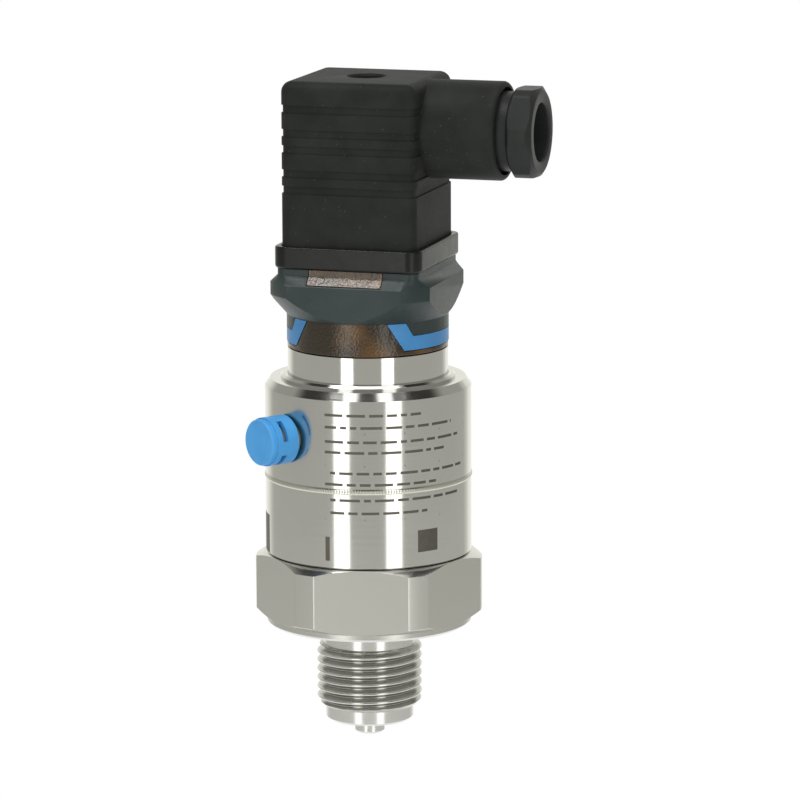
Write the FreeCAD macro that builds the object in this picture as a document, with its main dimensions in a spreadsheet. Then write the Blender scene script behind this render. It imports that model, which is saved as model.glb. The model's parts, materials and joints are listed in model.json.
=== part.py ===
import FreeCAD, Part
import math
import os
import re
import Sketcher

# Pressure transmitter with a ceramic measuring cell and a square valve plug, in millimetres.
# +Z runs up the instrument's axis and the origin lies on that axis in the flange's lower face.
# +X is the side that the cable gland leaves on, and -Y is the plug's front.
# The contact blades set the widths: contact carrier, neck and housing follow outwards from them.
# Names ending in "_level" or "_top" are heights above the origin, worked out from the lengths.

SIZES = (
    # process connection: manometer stub with a half inch pipe thread
    ("thread_dia", 20.955, "major diameter of the G 1/2 thread"),
    ("thread_chamfer", 1.1, "lead-in chamfer of the thread"),
    ("thread_length", 11.9, "thread with its chamfer"),
    ("relief_depth", 1.28, "undercut between flange and thread"),
    ("relief_length", 5.1, "undercut between flange and thread"),
    ("tip_length", 3.0, "plain tip below the thread"),
    ("tip_inset", 1.73, "plain tip inside the thread's major radius"),
    ("tip_chamfer", 0.5, "edge of the tip"),
    ("pin_dia", 6.0, "centring pin"),
    ("pin_length", 3.0, "centring pin"),
    ("pin_chamfer", 0.4, "centring pin"),
    ("inlet_dia", 3.0, "pressure channel"),
    ("land_overhang", 0.35, "round land beyond the hexagon's flats"),
    ("land_height", 1.4, "round land below the hexagon"),
    ("land_chamfer", 0.5, "lower edge of the land"),
    ("face_recess_width", 0.35, "recess in the seal face, beyond the thread"),
    ("face_recess_depth", 0.4, "recess in the seal face, round the undercut"),
    ("hex_flats", 40.0, "hexagon across flats"),
    ("hex_length", 13.0, "hexagon along the axis"),
    ("hex_turn", 7.0, "degrees the hexagon is turned about the axis"),
    ("hex_chamfer_start", 0.4, "corner bevels begin this far beyond the flats"),
    ("hex_chamfer_angle", 30.0, "degrees of the corner bevels"),
    ("rim_height", 3.4, "centring rim above the hexagon"),
    # ceramic measuring cell in the connection
    ("cell_dia", 26.0, "ceramic cell"),
    ("cell_thickness", 6.0, "ceramic base body"),
    ("diaphragm_thickness", 0.8, "ceramic diaphragm"),
    ("braze_thickness", 0.2, "ring that joins diaphragm and base"),
    ("braze_width", 2.5, "ring that joins diaphragm and base"),
    ("cell_seat_rise", 4.6, "floor of the cell pocket above the hexagon's lower face"),
    ("seal_inset", 0.8, "cell seal inside the cell's edge"),
    ("seal_width", 2.2, "cell seal"),
    ("seal_depth", 1.3, "seal groove"),
    ("seal_proud", 0.2, "seal above its groove"),
    ("chamber_inset", 1.5, "pressure chamber inside the seal"),
    ("chamber_depth", 0.9, "pressure chamber"),
    ("washer_thickness", 0.8, "support washer on the cell"),
    ("washer_width", 3.6, "support washer"),
    ("clamp_height", 3.0, "clamp ring above the washer"),
    ("clamp_width", 3.2, "clamp ring"),
    ("clamp_slot", 2.0, "spanner slots of the clamp ring"),
    ("cell_pin_dia", 0.7, "cell contact pins"),
    ("cell_pin_circle", 6.0, "radius of the pin circle"),
    ("reference_bore_dia", 1.2, "air bore of the cell"),
    # steel housing
    ("shoulder_width", 4.55, "housing shells beyond the neck"),
    ("housing_wall", 2.0, "both housing shells"),
    ("housing_gap", 0.15, "hexagon to lower shell"),
    ("housing_chamfer", 0.3, "lower edge of the lower shell"),
    ("lower_shell_length", 15.55, "lower shell up to the weld seam"),
    ("upper_shell_length", 19.4, "weld seam to shoulder"),
    ("seam_width", 1.1, "weld seam"),
    ("seam_rise", 0.12, "weld seam above the shell"),
    ("lip_length", 2.5, "centring lip of the upper shell"),
    ("lip_wall", 0.6, "centring lip of the upper shell"),
    ("shoulder_thickness", 2.5, "upper shell"),
    ("shoulder_bevel_width", 1.1, "outer bevel of the shoulder"),
    ("shoulder_bevel_height", 1.5, "outer bevel of the shoulder"),
    ("neck_step_width", 1.4, "raised ring round the neck"),
    ("neck_step_height", 0.9, "raised ring round the neck"),
    ("neck_wall", 1.6, "neck sleeve"),
    ("neck_length", 6.2, "neck sleeve above the shoulder"),
    ("neck_flange_width", 1.6, "hidden flange of the neck sleeve"),
    ("neck_flange_height", 1.8, "hidden flange of the neck sleeve"),
    ("slip_gap", 0.05, "radial gap between pressed or seated pieces"),
    # electronics
    ("tray_gap", 0.15, "board carrier and boards to what surrounds them"),
    ("tray_wall", 1.2, "board carrier"),
    ("tray_headroom", 0.6, "board carrier below the neck sleeve"),
    ("ledge_width", 1.6, "ledges under the boards"),
    ("ledge_height", 1.2, "ledges under the boards"),
    ("board_thickness", 1.2, "both boards"),
    ("sensor_board_rise", 5.2, "sensor board above the centring rim"),
    ("main_board_rise", 10.0, "main board above the sensor board"),
    ("chip_side", 7.0, "largest chip"),
    ("chip_height", 1.4, "flat chips"),
    ("flex_width", 8.0, "flat lead between the boards"),
    ("flex_thickness", 0.3, "flat lead between the boards"),
    ("flex_offset", 9.0, "flat lead from the axis"),
    ("flex_foot", 3.0, "soldered ends of the flat lead"),
    ("lead_dia", 0.9, "wires from the main board to the blades"),
    # contact carrier of amber plastic, with its brass insert and blades
    ("blade_width", 6.3, "contact blades"),
    ("blade_thickness", 0.8, "contact blades"),
    ("blade_offset", 9.0, "contact blades from the axis"),
    ("blade_reach", 13.0, "contact blades above the carrier"),
    ("blade_tail", 3.5, "contact blades below the carrier's floor"),
    ("blade_chamfer", 1.2, "tips of the contact blades"),
    ("core_wall", 3.2, "carrier's core beyond the blades"),
    ("core_thickness", 9.5, "carrier's solid top"),
    ("neck_margin", 3.3, "neck beyond the carrier's core"),
    ("strip_height", 1.1, "amber strip above the neck"),
    ("spigot_depth", 4.6, "contact carrier inside the neck"),
    ("spigot_gap", 0.2, "contact carrier inside the neck"),
    ("cup_wall", 2.2, "contact carrier inside the neck"),
    ("ring_groove_depth", 1.4, "groove of the neck seal"),
    ("ring_groove_height", 2.2, "groove of the neck seal"),
    ("window_bottom_half", 11.0, "half width of the amber window, low"),
    ("window_top_half", 8.1, "half width of the amber window, high"),
    ("window_height", 6.7, "neck to the collar's cone"),
    ("insert_wall", 1.35, "brass insert for the fixing screw"),
    ("insert_length", 7.4, "brass insert"),
    ("insert_sink", 0.1, "brass insert below the carrier's face"),
    # collar and trim bands
    ("collar_overhang", 0.1, "collar's foot beyond the neck"),
    ("collar_flare", 4.05, "widest band beyond the collar's foot"),
    ("cone_height", 4.6, "collar's cone"),
    ("band_height", 2.6, "collar's widest band"),
    ("cheek_margin", 0.3, "flat cheeks beyond the collar's foot"),
    ("loft_height", 1.7, "slope from the band to the square platform"),
    ("platform_inset", 0.6, "square platform inside the gasket's edge"),
    ("platform_corner", 2.0, "corner radius of the platform"),
    ("platform_height", 1.2, "square platform"),
    ("tab_half", 7.5, "half width of the amber tabs in the collar"),
    ("tab_gap", 0.12, "hairline round the amber tabs"),
    ("trim_depth", 1.2, "trim bands' seat inside the neck's radius"),
    ("trim_foot_gap", 0.15, "dark line below the trim bands"),
    ("trim_band_height", 2.75, "trim bands at the sides"),
    ("trim_arm_half_low", 12.43, "outer edge of an arm, low"),
    ("trim_arm_half_high", 11.34, "outer edge of an arm, high"),
    ("trim_gap", 0.1, "round the trim bands"),
    # vent on the upper shell
    ("vent_rise", 9.3, "vent axis above the weld seam"),
    ("vent_direction", -124.0, "degrees from +X towards +Y"),
    ("vent_stem_dia", 5.0, "stem of the vent body"),
    ("vent_port_gap", 0.1, "stem to the hole in the shell"),
    ("vent_bore_dia", 2.4, "air bore of the vent body"),
    ("vent_reach", 0.55, "vent body inside the shell"),
    ("vent_flange_width", 1.3, "vent body"),
    ("vent_flange_thickness", 0.9, "vent body"),
    ("vent_ring_width", 1.0, "seal ring of the vent"),
    ("vent_ring_height", 1.5, "seal ring of the vent"),
    ("membrane_thickness", 0.2, "vent membrane"),
    ("membrane_overlap", 0.5, "vent membrane beyond the stem"),
    ("cap_wall", 0.9, "vent cap"),
    ("cap_inner_gap", 0.1, "vent cap round the flange"),
    ("cap_rim_gap", 0.35, "vent cap's rim to the shell"),
    ("cap_length", 6.5, "vent cap"),
    ("cap_face_thickness", 1.2, "vent cap"),
    ("cap_step", 0.25, "step behind the cap's face"),
    ("cap_slot_width", 4.4, "air slots of the cap"),
    ("cap_slot_height", 1.2, "air slots of the cap"),
    ("cap_slot_rise", 2.8, "air slots above the cap's rim"),
    # square valve plug
    ("gasket_rim", 1.13, "gasket's rim round the plug"),
    ("gasket_corner", 3.0, "outer corners of the gasket"),
    ("gasket_height", 4.4, "gasket with its rim"),
    ("gasket_floor", 1.5, "flat of the gasket"),
    ("gasket_edge", 0.7, "rounded lower edge of the gasket"),
    ("plug_gap", 0.12, "plug to gasket rim"),
    ("plug_wall", 1.9, "plug housing"),
    ("plug_corner", 2.5, "plug housing"),
    ("plug_edge", 2.2, "rounded top edge"),
    ("plug_roof", 4.0, "plug housing"),
    ("wire_room", 13.1, "terminal block to the plug's roof"),
    ("grip_depth", 0.3, "finger grooves"),
    ("grip_width", 1.55, "finger grooves"),
    ("grip_drop", 5.4, "plug's top to the first finger groove"),
    ("grip_long_step", 4.7, "between pairs of finger grooves"),
    ("grip_short_step", 3.2, "between the grooves of a pair"),
    ("driver_room", 0.6, "screwdriver hole beyond the screw head"),
    ("driver_rim", 0.4, "bevel of the screwdriver hole"),
    ("tower_wall", 1.6, "tube round the fixing screw"),
    ("tower_floor", 2.0, "bottom of the screwdriver hole"),
    ("tower_gap", 3.0, "tube to the terminal block"),
    ("barrel_margin", 0.2, "gland barrel below the plug's top"),
    ("barrel_bore_dia", 15.7, "bore for nut, washer and bush"),
    ("barrel_wall", 1.85, "gland barrel"),
    ("barrel_edge", 0.8, "rounded mouth of the barrel"),
    ("barrel_floor", 2.25, "floor of the bore beyond the plug's side"),
    ("mouth_step", 0.75, "recess in the barrel's mouth"),
    ("mouth_depth", 1.4, "recess in the barrel's mouth"),
    ("wire_hole_dia", 10.4, "from the barrel into the plug"),
    # cable gland
    ("bush_length", 6.0, "rubber bush"),
    ("bush_gap", 0.2, "bush and washer in the bore"),
    ("bush_bore_dia", 8.0, "rubber bush"),
    ("thrust_thickness", 1.0, "thrust washer"),
    ("thrust_gap", 0.1, "each side of the thrust washer"),
    ("nut_grip", 5.2, "nut's thread inside the barrel"),
    ("nut_gap", 1.95, "barrel to the nut's hexagon"),
    ("nut_hex_length", 5.25, "hexagon of the gland nut"),
    ("nut_flats", 17.2, "gland nut"),
    ("nut_turn", 0.0, "degrees the nut stands turned"),
    ("nut_corner_cut", 0.58, "turned off the corners of the nut's hexagon"),
    ("nut_bore_dia", 11.4, "gland nut"),
    ("nut_funnel_width", 0.7, "mouth of the gland nut"),
    ("nut_funnel_depth", 1.6, "mouth of the gland nut"),
    ("nut_chamfer_start", 0.3, "corner bevels begin this far beyond the flats"),
    # terminal insert and fixing screw
    ("block_gap", 0.25, "terminal block to plug and gasket"),
    ("block_wall", 0.8, "terminal block outside the clamps"),
    ("block_corner", 1.0, "terminal block"),
    ("block_headroom", 3.5, "terminal block above the clamps"),
    ("clamp_block_width", 7.6, "terminal clamps"),
    ("clamp_block_depth", 3.6, "terminal clamps"),
    ("clamp_block_foot", 1.25, "terminal block below the clamps"),
    ("clamp_block_headroom", 3.0, "terminal clamps above the blades"),
    ("clamp_slot_gap", 0.2, "slots round the blades"),
    ("clamp_screw_dia", 2.6, "clamp screws"),
    ("clamp_head_dia", 3.4, "clamp screws"),
    ("clamp_head_height", 1.4, "clamp screws"),
    ("clamp_screw_gap", 1.0, "clamp screws above the blades"),
    ("screw_dia", 2.9, "M3 fixing screw"),
    ("screw_play", 0.25, "clear holes round the fixing screw"),
    ("screw_tip_rise", 1.0, "screw tip above the insert's lower end"),
    ("screw_tip_chamfer", 0.4, "fixing screw"),
    ("screw_head_dia", 6.0, "fixing screw"),
    ("screw_head_height", 2.2, "fixing screw"),
    ("screw_slot", 0.9, "fixing screw"),
    ("screw_slot_depth", 1.2, "fixing screw"),
    ("screw_seal_thickness", 1.0, "seal under the screw head"),
)

# Radii, distances and heights that follow from the sizes above.
DERIVED = {
    # widths, from the blades outwards
    "core_radius": "blade_offset + blade_thickness / 2 + core_wall",
    "neck_radius": "core_radius + neck_margin",
    "neck_inner": "neck_radius - neck_wall",
    "housing_radius": "neck_radius + shoulder_width",
    "housing_inner": "housing_radius - housing_wall",
    "tray_radius": "housing_inner - slip_gap - lip_wall - tray_gap",
    "tray_inner": "tray_radius - tray_wall",
    "board_radius": "tray_inner - tray_gap",
    "spigot_radius": "neck_inner - spigot_gap",
    "trim_seat_radius": "neck_radius - trim_depth",
    "collar_foot_radius": "neck_radius + collar_overhang",
    "band_radius": "collar_foot_radius + collar_flare",
    "cheek_half": "collar_foot_radius + cheek_margin",
    "block_half": "blade_offset + clamp_block_depth / 2 + block_wall",
    "plug_inner": "block_half + block_gap",
    "plug_half": "plug_inner + plug_wall",
    "gasket_half": "plug_half + plug_gap + gasket_rim",
    "platform_half": "gasket_half - platform_inset",
    # process connection and cell
    "rim_radius": "housing_inner - slip_gap",
    "land_radius": "hex_flats / 2 + land_overhang",
    "relief_radius": "thread_dia / 2 - relief_depth",
    "tip_radius": "thread_dia / 2 - tip_inset",
    "thread_end": "-relief_length - thread_length",
    "tip_end": "thread_end - tip_length",
    "pin_end": "tip_end - pin_length",
    "hex_top": "land_height + hex_length",
    "rim_top": "hex_top + rim_height",
    "cell_radius": "cell_dia / 2",
    "pocket_radius": "cell_radius + 2 * slip_gap",
    "seal_outer": "cell_radius - seal_inset",
    "seal_inner": "seal_outer - seal_width",
    "chamber_radius": "seal_inner - chamber_inset",
    "seat_level": "land_height + cell_seat_rise",
    "seal_base": "seat_level - seal_depth",
    "diaphragm_level": "seat_level + seal_proud",
    "braze_level": "diaphragm_level + diaphragm_thickness",
    "cell_level": "braze_level + braze_thickness",
    "cell_top": "cell_level + cell_thickness",
    "clamp_level": "cell_top + washer_thickness",
    "clamp_top": "clamp_level + clamp_height",
    # heights of the housing and what it holds
    "housing_base": "hex_top + housing_gap",
    "seam_level": "housing_base + lower_shell_length",
    "seam_low": "seam_level - seam_width / 2",
    "seam_top": "seam_level + seam_width / 2",
    "shoulder_top": "seam_level + upper_shell_length",
    "shoulder_level": "shoulder_top - shoulder_thickness",
    "step_top": "shoulder_top + neck_step_height",
    "neck_foot_level": "shoulder_level - neck_flange_height",
    "neck_top": "shoulder_top + neck_length",
    "tray_top": "neck_foot_level - tray_headroom",
    "sensor_board_level": "rim_top + sensor_board_rise",
    "sensor_board_top": "sensor_board_level + board_thickness",
    "main_board_level": "sensor_board_level + main_board_rise",
    "main_board_top": "main_board_level + board_thickness",
    # heights of the contact carrier, collar and trim bands
    "strip_level": "neck_top + slip_gap",
    "strip_top": "neck_top + strip_height",
    "spigot_level": "neck_top - spigot_depth",
    "ring_level": "spigot_level + (spigot_depth - ring_groove_height) / 2",
    "ring_top": "ring_level + ring_groove_height",
    "collar_foot_level": "neck_top + window_height",
    "band_level": "collar_foot_level + cone_height",
    "band_top": "band_level + band_height",
    "platform_level": "band_top + loft_height",
    "collar_top": "platform_level + platform_height",
    "core_level": "collar_top - core_thickness",
    "blade_level": "core_level - blade_tail",
    "blade_top": "collar_top + blade_reach",
    "insert_top": "collar_top - insert_sink",
    "insert_level": "insert_top - insert_length",
    "insert_radius": "screw_dia / 2 + insert_wall",
    "trim_level": "strip_top + trim_foot_gap",
    "trim_band_top": "trim_level + trim_band_height",
    "trim_top": "collar_foot_level - trim_gap",
    "skirt_level": "trim_band_top + trim_gap",
    # vent, as distances from the instrument's axis
    "vent_level": "seam_level + vent_rise",
    "vent_start": "housing_inner - vent_reach",
    "vent_ring_start": "housing_radius + slip_gap",
    "vent_ring_end": "vent_ring_start + vent_ring_height",
    "vent_flange_start": "vent_ring_end + slip_gap",
    "vent_flange_end": "vent_flange_start + vent_flange_thickness",
    "vent_stem_radius": "vent_stem_dia / 2",
    "vent_flange_radius": "vent_stem_radius + vent_flange_width",
    "vent_port_radius": "vent_stem_radius + vent_port_gap",
    "cap_inner": "vent_flange_radius + cap_inner_gap",
    "cap_radius": "cap_inner + cap_wall",
    "cap_start": "housing_radius + cap_rim_gap",
    "cap_end": "cap_start + cap_length",
    # plug, terminals and fixing screw
    "gasket_top": "collar_top + gasket_height",
    "floor_top": "collar_top + gasket_floor",
    "plug_level": "floor_top + slip_gap",
    "block_level": "floor_top + block_gap",
    "clamp_block_level": "block_level + clamp_block_foot",
    "clamp_block_top": "blade_top + clamp_block_headroom",
    "block_top": "clamp_block_top + block_headroom",
    "roof_level": "block_top + wire_room",
    "plug_top": "roof_level + plug_roof",
    "tower_level": "block_top + tower_gap",
    "screw_seat_level": "tower_level + tower_floor",
    "screw_head_level": "screw_seat_level + screw_seal_thickness",
    "screw_head_top": "screw_head_level + screw_head_height",
    "screw_tip_level": "insert_level + screw_tip_rise",
    "screw_radius": "screw_dia / 2",
    "screw_hole_radius": "screw_radius + screw_play",
    "driver_radius": "screw_head_dia / 2 + driver_room",
    "tower_radius": "driver_radius + tower_wall",
    "clamp_slot_wide": "blade_width + 2 * clamp_slot_gap",
    "clamp_slot_deep": "blade_thickness + 2 * clamp_slot_gap",
    # gland, as distances from the instrument's axis
    "bore_radius": "barrel_bore_dia / 2",
    "barrel_radius": "bore_radius + barrel_wall",
    "barrel_level": "plug_top - barrel_margin - barrel_radius",
    "bush_radius": "bore_radius - bush_gap",
    "bush_start": "plug_half + barrel_floor",
    "bush_end": "bush_start + bush_length",
    "thrust_start": "bush_end + thrust_gap",
    "thrust_end": "thrust_start + thrust_thickness",
    "nut_start": "thrust_end + thrust_gap",
    "nut_shank_radius": "bore_radius - slip_gap",
    "barrel_end": "nut_start + nut_grip",
    "nut_hex_start": "barrel_end + nut_gap",
    "nut_end": "nut_hex_start + nut_hex_length",
    "nut_corner_radius": "nut_flats / 2 / cos(30) - nut_corner_cut",
    "nut_bore_radius": "nut_bore_dia / 2",
}

ALIASES = {alias for alias, _value, _meaning in SIZES}
BLADES = (
    # node, direction from the axis in degrees
    ("blade_one", 0.0),
    ("blade_two", 180.0),
    ("blade_three", 90.0),
    ("earth_blade", -90.0),
)
CELL_PIN_TURNS = (30.0, 150.0, 270.0)
# finger grooves, as numbers of long and short steps below the first
GRIPS = ((0, 0), (1, 0), (1, 1), (2, 1), (2, 2))

doc = FreeCAD.newDocument("PressureTransmitter")
sheet = doc.addObject("Spreadsheet::Sheet", "Sizes")
nodes = []


def fill_sheet():
    """Writes one row for each driving size: its meaning, and its value under an alias."""
    for row, (alias, value, meaning) in enumerate(SIZES, start=1):
        sheet.set(f"A{row}", f"'{alias}: {meaning}")
        sheet.set(f"B{row}", str(value))
        sheet.setAlias(f"B{row}", alias)
    doc.recompute()


def bound(text):
    """Turns a size written with plain names into an expression that reads the sheet."""
    def swap(match):
        word = match.group(0)
        if word in DERIVED:
            return f"({bound(DERIVED[word])})"
        if word in ALIASES:
            return f"Sizes.{word}"
        return word

    return re.sub(r"[a-z_]+", swap, text)


def size(text):
    """The value of a size now, as a plain number."""
    value = sheet.evalExpression(bound(text))
    return float(getattr(value, "Value", value))


def bind(thing, prop, text):
    """Sets a property and keeps it tied to the sheet."""
    thing.setExpression(prop, bound(text))


def finish(thing, label):
    """Names a finished sub-part and adds it to the list that is written out."""
    thing.Label = label
    nodes.append(thing)
    return thing


def across(turn):
    """True where a piece at this direction from the axis lies along X instead of Y."""
    return abs(math.sin(math.radians(turn))) > 0.5


def polar(radius, turn):
    """The x and y of a place at this distance and direction from the axis."""
    return f"{radius} * cos({turn})", f"{radius} * sin({turn})"


# Sketches and features of bodies

def new_body(name):
    return doc.addObject("PartDesign::Body", f"{name}_body")


def sketch_on(body, name, role, offset="0"):
    """A sketch on one of the body's origin planes, moved along the plane's normal."""
    sketch = body.newObject("Sketcher::SketchObject", name)
    plane = [item for item in body.Origin.OriginFeatures if item.Role == role][0]
    sketch.AttachmentSupport = (plane, "")
    sketch.MapMode = "FlatFace"
    bind(sketch, "AttachmentOffset.Base.z", offset)
    return sketch


def arc_centre(first, second, radius):
    """Centre of the arc that turns left from one point to the other."""
    chord = second - first
    middle = (first + second) * 0.5
    rise = math.sqrt(max(radius * radius - chord.Length * chord.Length / 4, 0))
    return middle + FreeCAD.Vector(-chord.y, chord.x, 0).normalize() * rise


def constrain(sketch, kind, name, text, *place):
    """Adds a named dimension to a sketch and ties it to the sheet."""
    rule = sketch.addConstraint(Sketcher.Constraint(kind, *place, size(text)))
    sketch.renameConstraint(rule, name)
    bind(sketch, f"Constraints.{name}", text)


def outline(sketch, corners):
    """A closed outline. A corner is (x, y), or (x, y, radius) where an arc leads to the next."""
    places = [FreeCAD.Vector(size(corner[0]), size(corner[1]), 0) for corner in corners]
    first = sketch.GeometryCount
    count = len(corners)
    for index, corner in enumerate(corners):
        here = places[index]
        there = places[(index + 1) % count]
        if len(corner) == 2:
            sketch.addGeometry(Part.LineSegment(here, there), False)
        else:
            radius = size(corner[2])
            centre = arc_centre(here, there, radius)
            start = math.atan2(here.y - centre.y, here.x - centre.x)
            end = math.atan2(there.y - centre.y, there.x - centre.x)
            if end < start:
                end += 2 * math.pi
            circle = Part.Circle(centre, FreeCAD.Vector(0, 0, 1), radius)
            sketch.addGeometry(Part.ArcOfCircle(circle, start, end), False)
    for index, corner in enumerate(corners):
        item = first + index
        following = first + (index + 1) % count
        sketch.addConstraint(Sketcher.Constraint("Coincident", item, 2, following, 1))
        constrain(sketch, "DistanceX", f"x{item}", corner[0], -1, 1, item, 1)
        constrain(sketch, "DistanceY", f"y{item}", corner[1], -1, 1, item, 1)
    for index, corner in enumerate(corners):
        if len(corner) == 3:
            item = first + index
            constrain(sketch, "Radius", f"radius{item}", corner[2], item)
    return sketch


def ring_outline(sketch, radius, x="0", y="0"):
    """A full circle."""
    item = sketch.GeometryCount
    centre = FreeCAD.Vector(size(x), size(y), 0)
    sketch.addGeometry(Part.Circle(centre, FreeCAD.Vector(0, 0, 1), size(radius)), False)
    constrain(sketch, "DistanceX", f"x{item}", x, -1, 1, item, 3)
    constrain(sketch, "DistanceY", f"y{item}", y, -1, 1, item, 3)
    constrain(sketch, "Radius", f"radius{item}", radius, item)
    return sketch


def rounded_square(sketch, half, corner):
    """A square about the origin with round corners."""
    half = f"({half})"
    flat = f"({half} - ({corner}))"
    return outline(sketch, (
        (half, f"-{flat}"),
        (half, flat, corner),
        (flat, half),
        (f"-{flat}", half, corner),
        (f"-{half}", flat),
        (f"-{half}", f"-{flat}", corner),
        (f"-{flat}", f"-{half}"),
        (flat, f"-{half}", corner),
    ))


def rectangle(sketch, half_x, half_y, x="0", y="0"):
    return outline(sketch, (
        (f"{x} - ({half_x})", f"{y} - ({half_y})"),
        (f"{x} + ({half_x})", f"{y} - ({half_y})"),
        (f"{x} + ({half_x})", f"{y} + ({half_y})"),
        (f"{x} - ({half_x})", f"{y} + ({half_y})"),
    ))


def hexagon(sketch, flats, turn):
    """A regular hexagon about the origin, one flat's normal turned from +X by 'turn' degrees."""
    reach = f"{flats} / 2 / cos(30)"
    return outline(sketch, [polar(reach, f"{turn} + {30 + 60 * index}") for index in range(6)])


def settle(body, feature, before):
    """Recomputes a new feature. It has to change the volume: a wrong direction gives no error."""
    feature.Refine = False
    doc.recompute([feature.Profile[0], feature, body])
    if abs(feature.Shape.Volume - before) < 1e-6:
        raise ValueError(f"{feature.Name} changes nothing")
    return feature


def volume_before(body):
    return body.Tip.Shape.Volume if body.Tip else 0.0


def extrude(body, kind, sketch, length, reverse=False):
    """A pad along the sketch's normal, or a pocket against it, as long as 'length'."""
    before = volume_before(body)
    feature = body.newObject(kind, f"{sketch.Name}_solid")
    feature.Profile = sketch
    feature.Reversed = reverse
    bind(feature, "Length", length)
    return settle(body, feature, before)


def pad(body, sketch, length, reverse=False):
    return extrude(body, "PartDesign::Pad", sketch, length, reverse)


def pocket(body, sketch, length, reverse=False):
    return extrude(body, "PartDesign::Pocket", sketch, length, reverse)


def spin(body, kind, sketch):
    """A full turn of the profile about the sketch's vertical axis."""
    before = volume_before(body)
    feature = body.newObject(kind, f"{sketch.Name}_solid")
    feature.Profile = sketch
    feature.ReferenceAxis = (sketch, ["V_Axis"])
    feature.Angle = 360
    return settle(body, feature, before)


def turn_off(body, name, corners):
    """A groove turned about Z, from a profile of (radius, height) corners."""
    sketch = outline(sketch_on(body, name, "XZ_Plane"), corners)
    return spin(body, "PartDesign::Groove", sketch)


def turned(name, corners):
    """A body turned about Z, from a profile of (radius, height) corners."""
    body = new_body(name)
    sketch = outline(sketch_on(body, f"{name}_profile", "XZ_Plane"), corners)
    spin(body, "PartDesign::Revolution", sketch)
    return body


def tube(name, outer, inner, low, high):
    return turned(name, ((inner, low), (outer, low), (outer, high), (inner, high)))


def disc(name, radius, low, high):
    return tube(name, radius, "0", low, high)


def round_edges(body, name, radius, chosen):
    """A fillet on the tip's edges that the test 'chosen' picks."""
    base = body.Tip
    names = [f"Edge{index}" for index, edge in enumerate(base.Shape.Edges, 1) if chosen(edge)]
    if not names:
        raise ValueError(f"{name} finds no edge")
    feature = body.newObject("PartDesign::Fillet", name)
    feature.Base = (base, names)
    bind(feature, "Radius", radius)
    doc.recompute([feature, body])
    return feature


def lies_at(edge, axis, value):
    """True where the whole edge lies at this value of 'X' or 'Z'."""
    low = getattr(edge.BoundBox, f"{axis}Min")
    high = getattr(edge.BoundBox, f"{axis}Max")
    near = 1e-3
    return abs(low - value) < near and abs(high - value) < near


def corner_bevels(body, name, flats, start, low, high):
    """Turns off the hexagon's corners at both ends, as on a turned nut."""
    reach = f"{flats} * 0.65"
    drop = f"({reach} - ({start})) * tan(hex_chamfer_angle)"
    for side, edge, inwards in (("low", low, "+"), ("high", high, "-")):
        turn_off(body, f"{name}_{side}_bevel", (
            (start, edge),
            (reach, edge),
            (reach, f"{edge} {inwards} {drop}"),
        ))


# Plain solids and booleans

def place(thing, x="0", y="0", z="0"):
    for letter, text in (("x", x), ("y", y), ("z", z)):
        bind(thing, f"Placement.Base.{letter}", text)
    return thing


def cylinder(name, radius, length, x="0", y="0", z="0"):
    thing = doc.addObject("Part::Cylinder", name)
    bind(thing, "Radius", radius)
    bind(thing, "Height", length)
    return place(thing, x, y, z)


def block(name, wide, deep, tall, x="0", y="0", z="0"):
    """A box centred on x and y, standing on z."""
    thing = doc.addObject("Part::Box", name)
    bind(thing, "Length", wide)
    bind(thing, "Width", deep)
    bind(thing, "Height", tall)
    return place(thing, f"{x} - ({wide}) / 2", f"{y} - ({deep}) / 2", z)


def slab(name, corners, reach):
    """An outline in the XZ plane, pushed through along Y to 'reach' on both sides."""
    sketch = doc.addObject("Sketcher::SketchObject", f"{name}_outline")
    sketch.Placement.Rotation = FreeCAD.Rotation(FreeCAD.Vector(1, 0, 0), 90)
    outline(sketch, corners)
    thing = doc.addObject("Part::Extrusion", name)
    thing.Base = sketch
    thing.DirMode = "Normal"
    thing.Solid = True
    thing.Symmetric = True
    bind(thing, "LengthFwd", f"2 * ({reach})")
    return thing


def cut(name, base, tool):
    thing = doc.addObject("Part::Cut", name)
    thing.Base = base
    thing.Tool = tool
    return thing


def fuse(name, members):
    thing = doc.addObject("Part::MultiFuse", name)
    thing.Shapes = members
    return thing


def common(name, members):
    thing = doc.addObject("Part::MultiCommon", name)
    thing.Shapes = members
    return thing


def group(name, members):
    """Like solids that share one node."""
    thing = doc.addObject("Part::Compound", name)
    thing.Links = members
    return thing


def hollow_ring(name, outer, inner, low, high):
    """A plain ring as a boolean, for use inside other booleans."""
    length = f"{high} - ({low})"
    shell = cylinder(f"{name}_outer", outer, length, z=low)
    bore = cylinder(f"{name}_inner", inner, f"{length} + 2", z=f"{low} - 1")
    return cut(name, shell, bore)


def along_vent(thing):
    """Turns a piece modelled about +Z so that its axis runs out along the vent."""
    angle = math.radians(size("vent_direction"))
    outwards = FreeCAD.Vector(math.cos(angle), math.sin(angle), 0)
    thing.Placement.Rotation = FreeCAD.Rotation(FreeCAD.Vector(0, 0, 1), outwards)
    return place(thing, z="vent_level")


def along_barrel(thing):
    """Turns a piece modelled about +Z so that its axis is the gland barrel's."""
    thing.Placement.Rotation = FreeCAD.Rotation(FreeCAD.Vector(0, 1, 0), 90)
    return place(thing, z="barrel_level")


# Process connection and measuring cell

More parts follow.
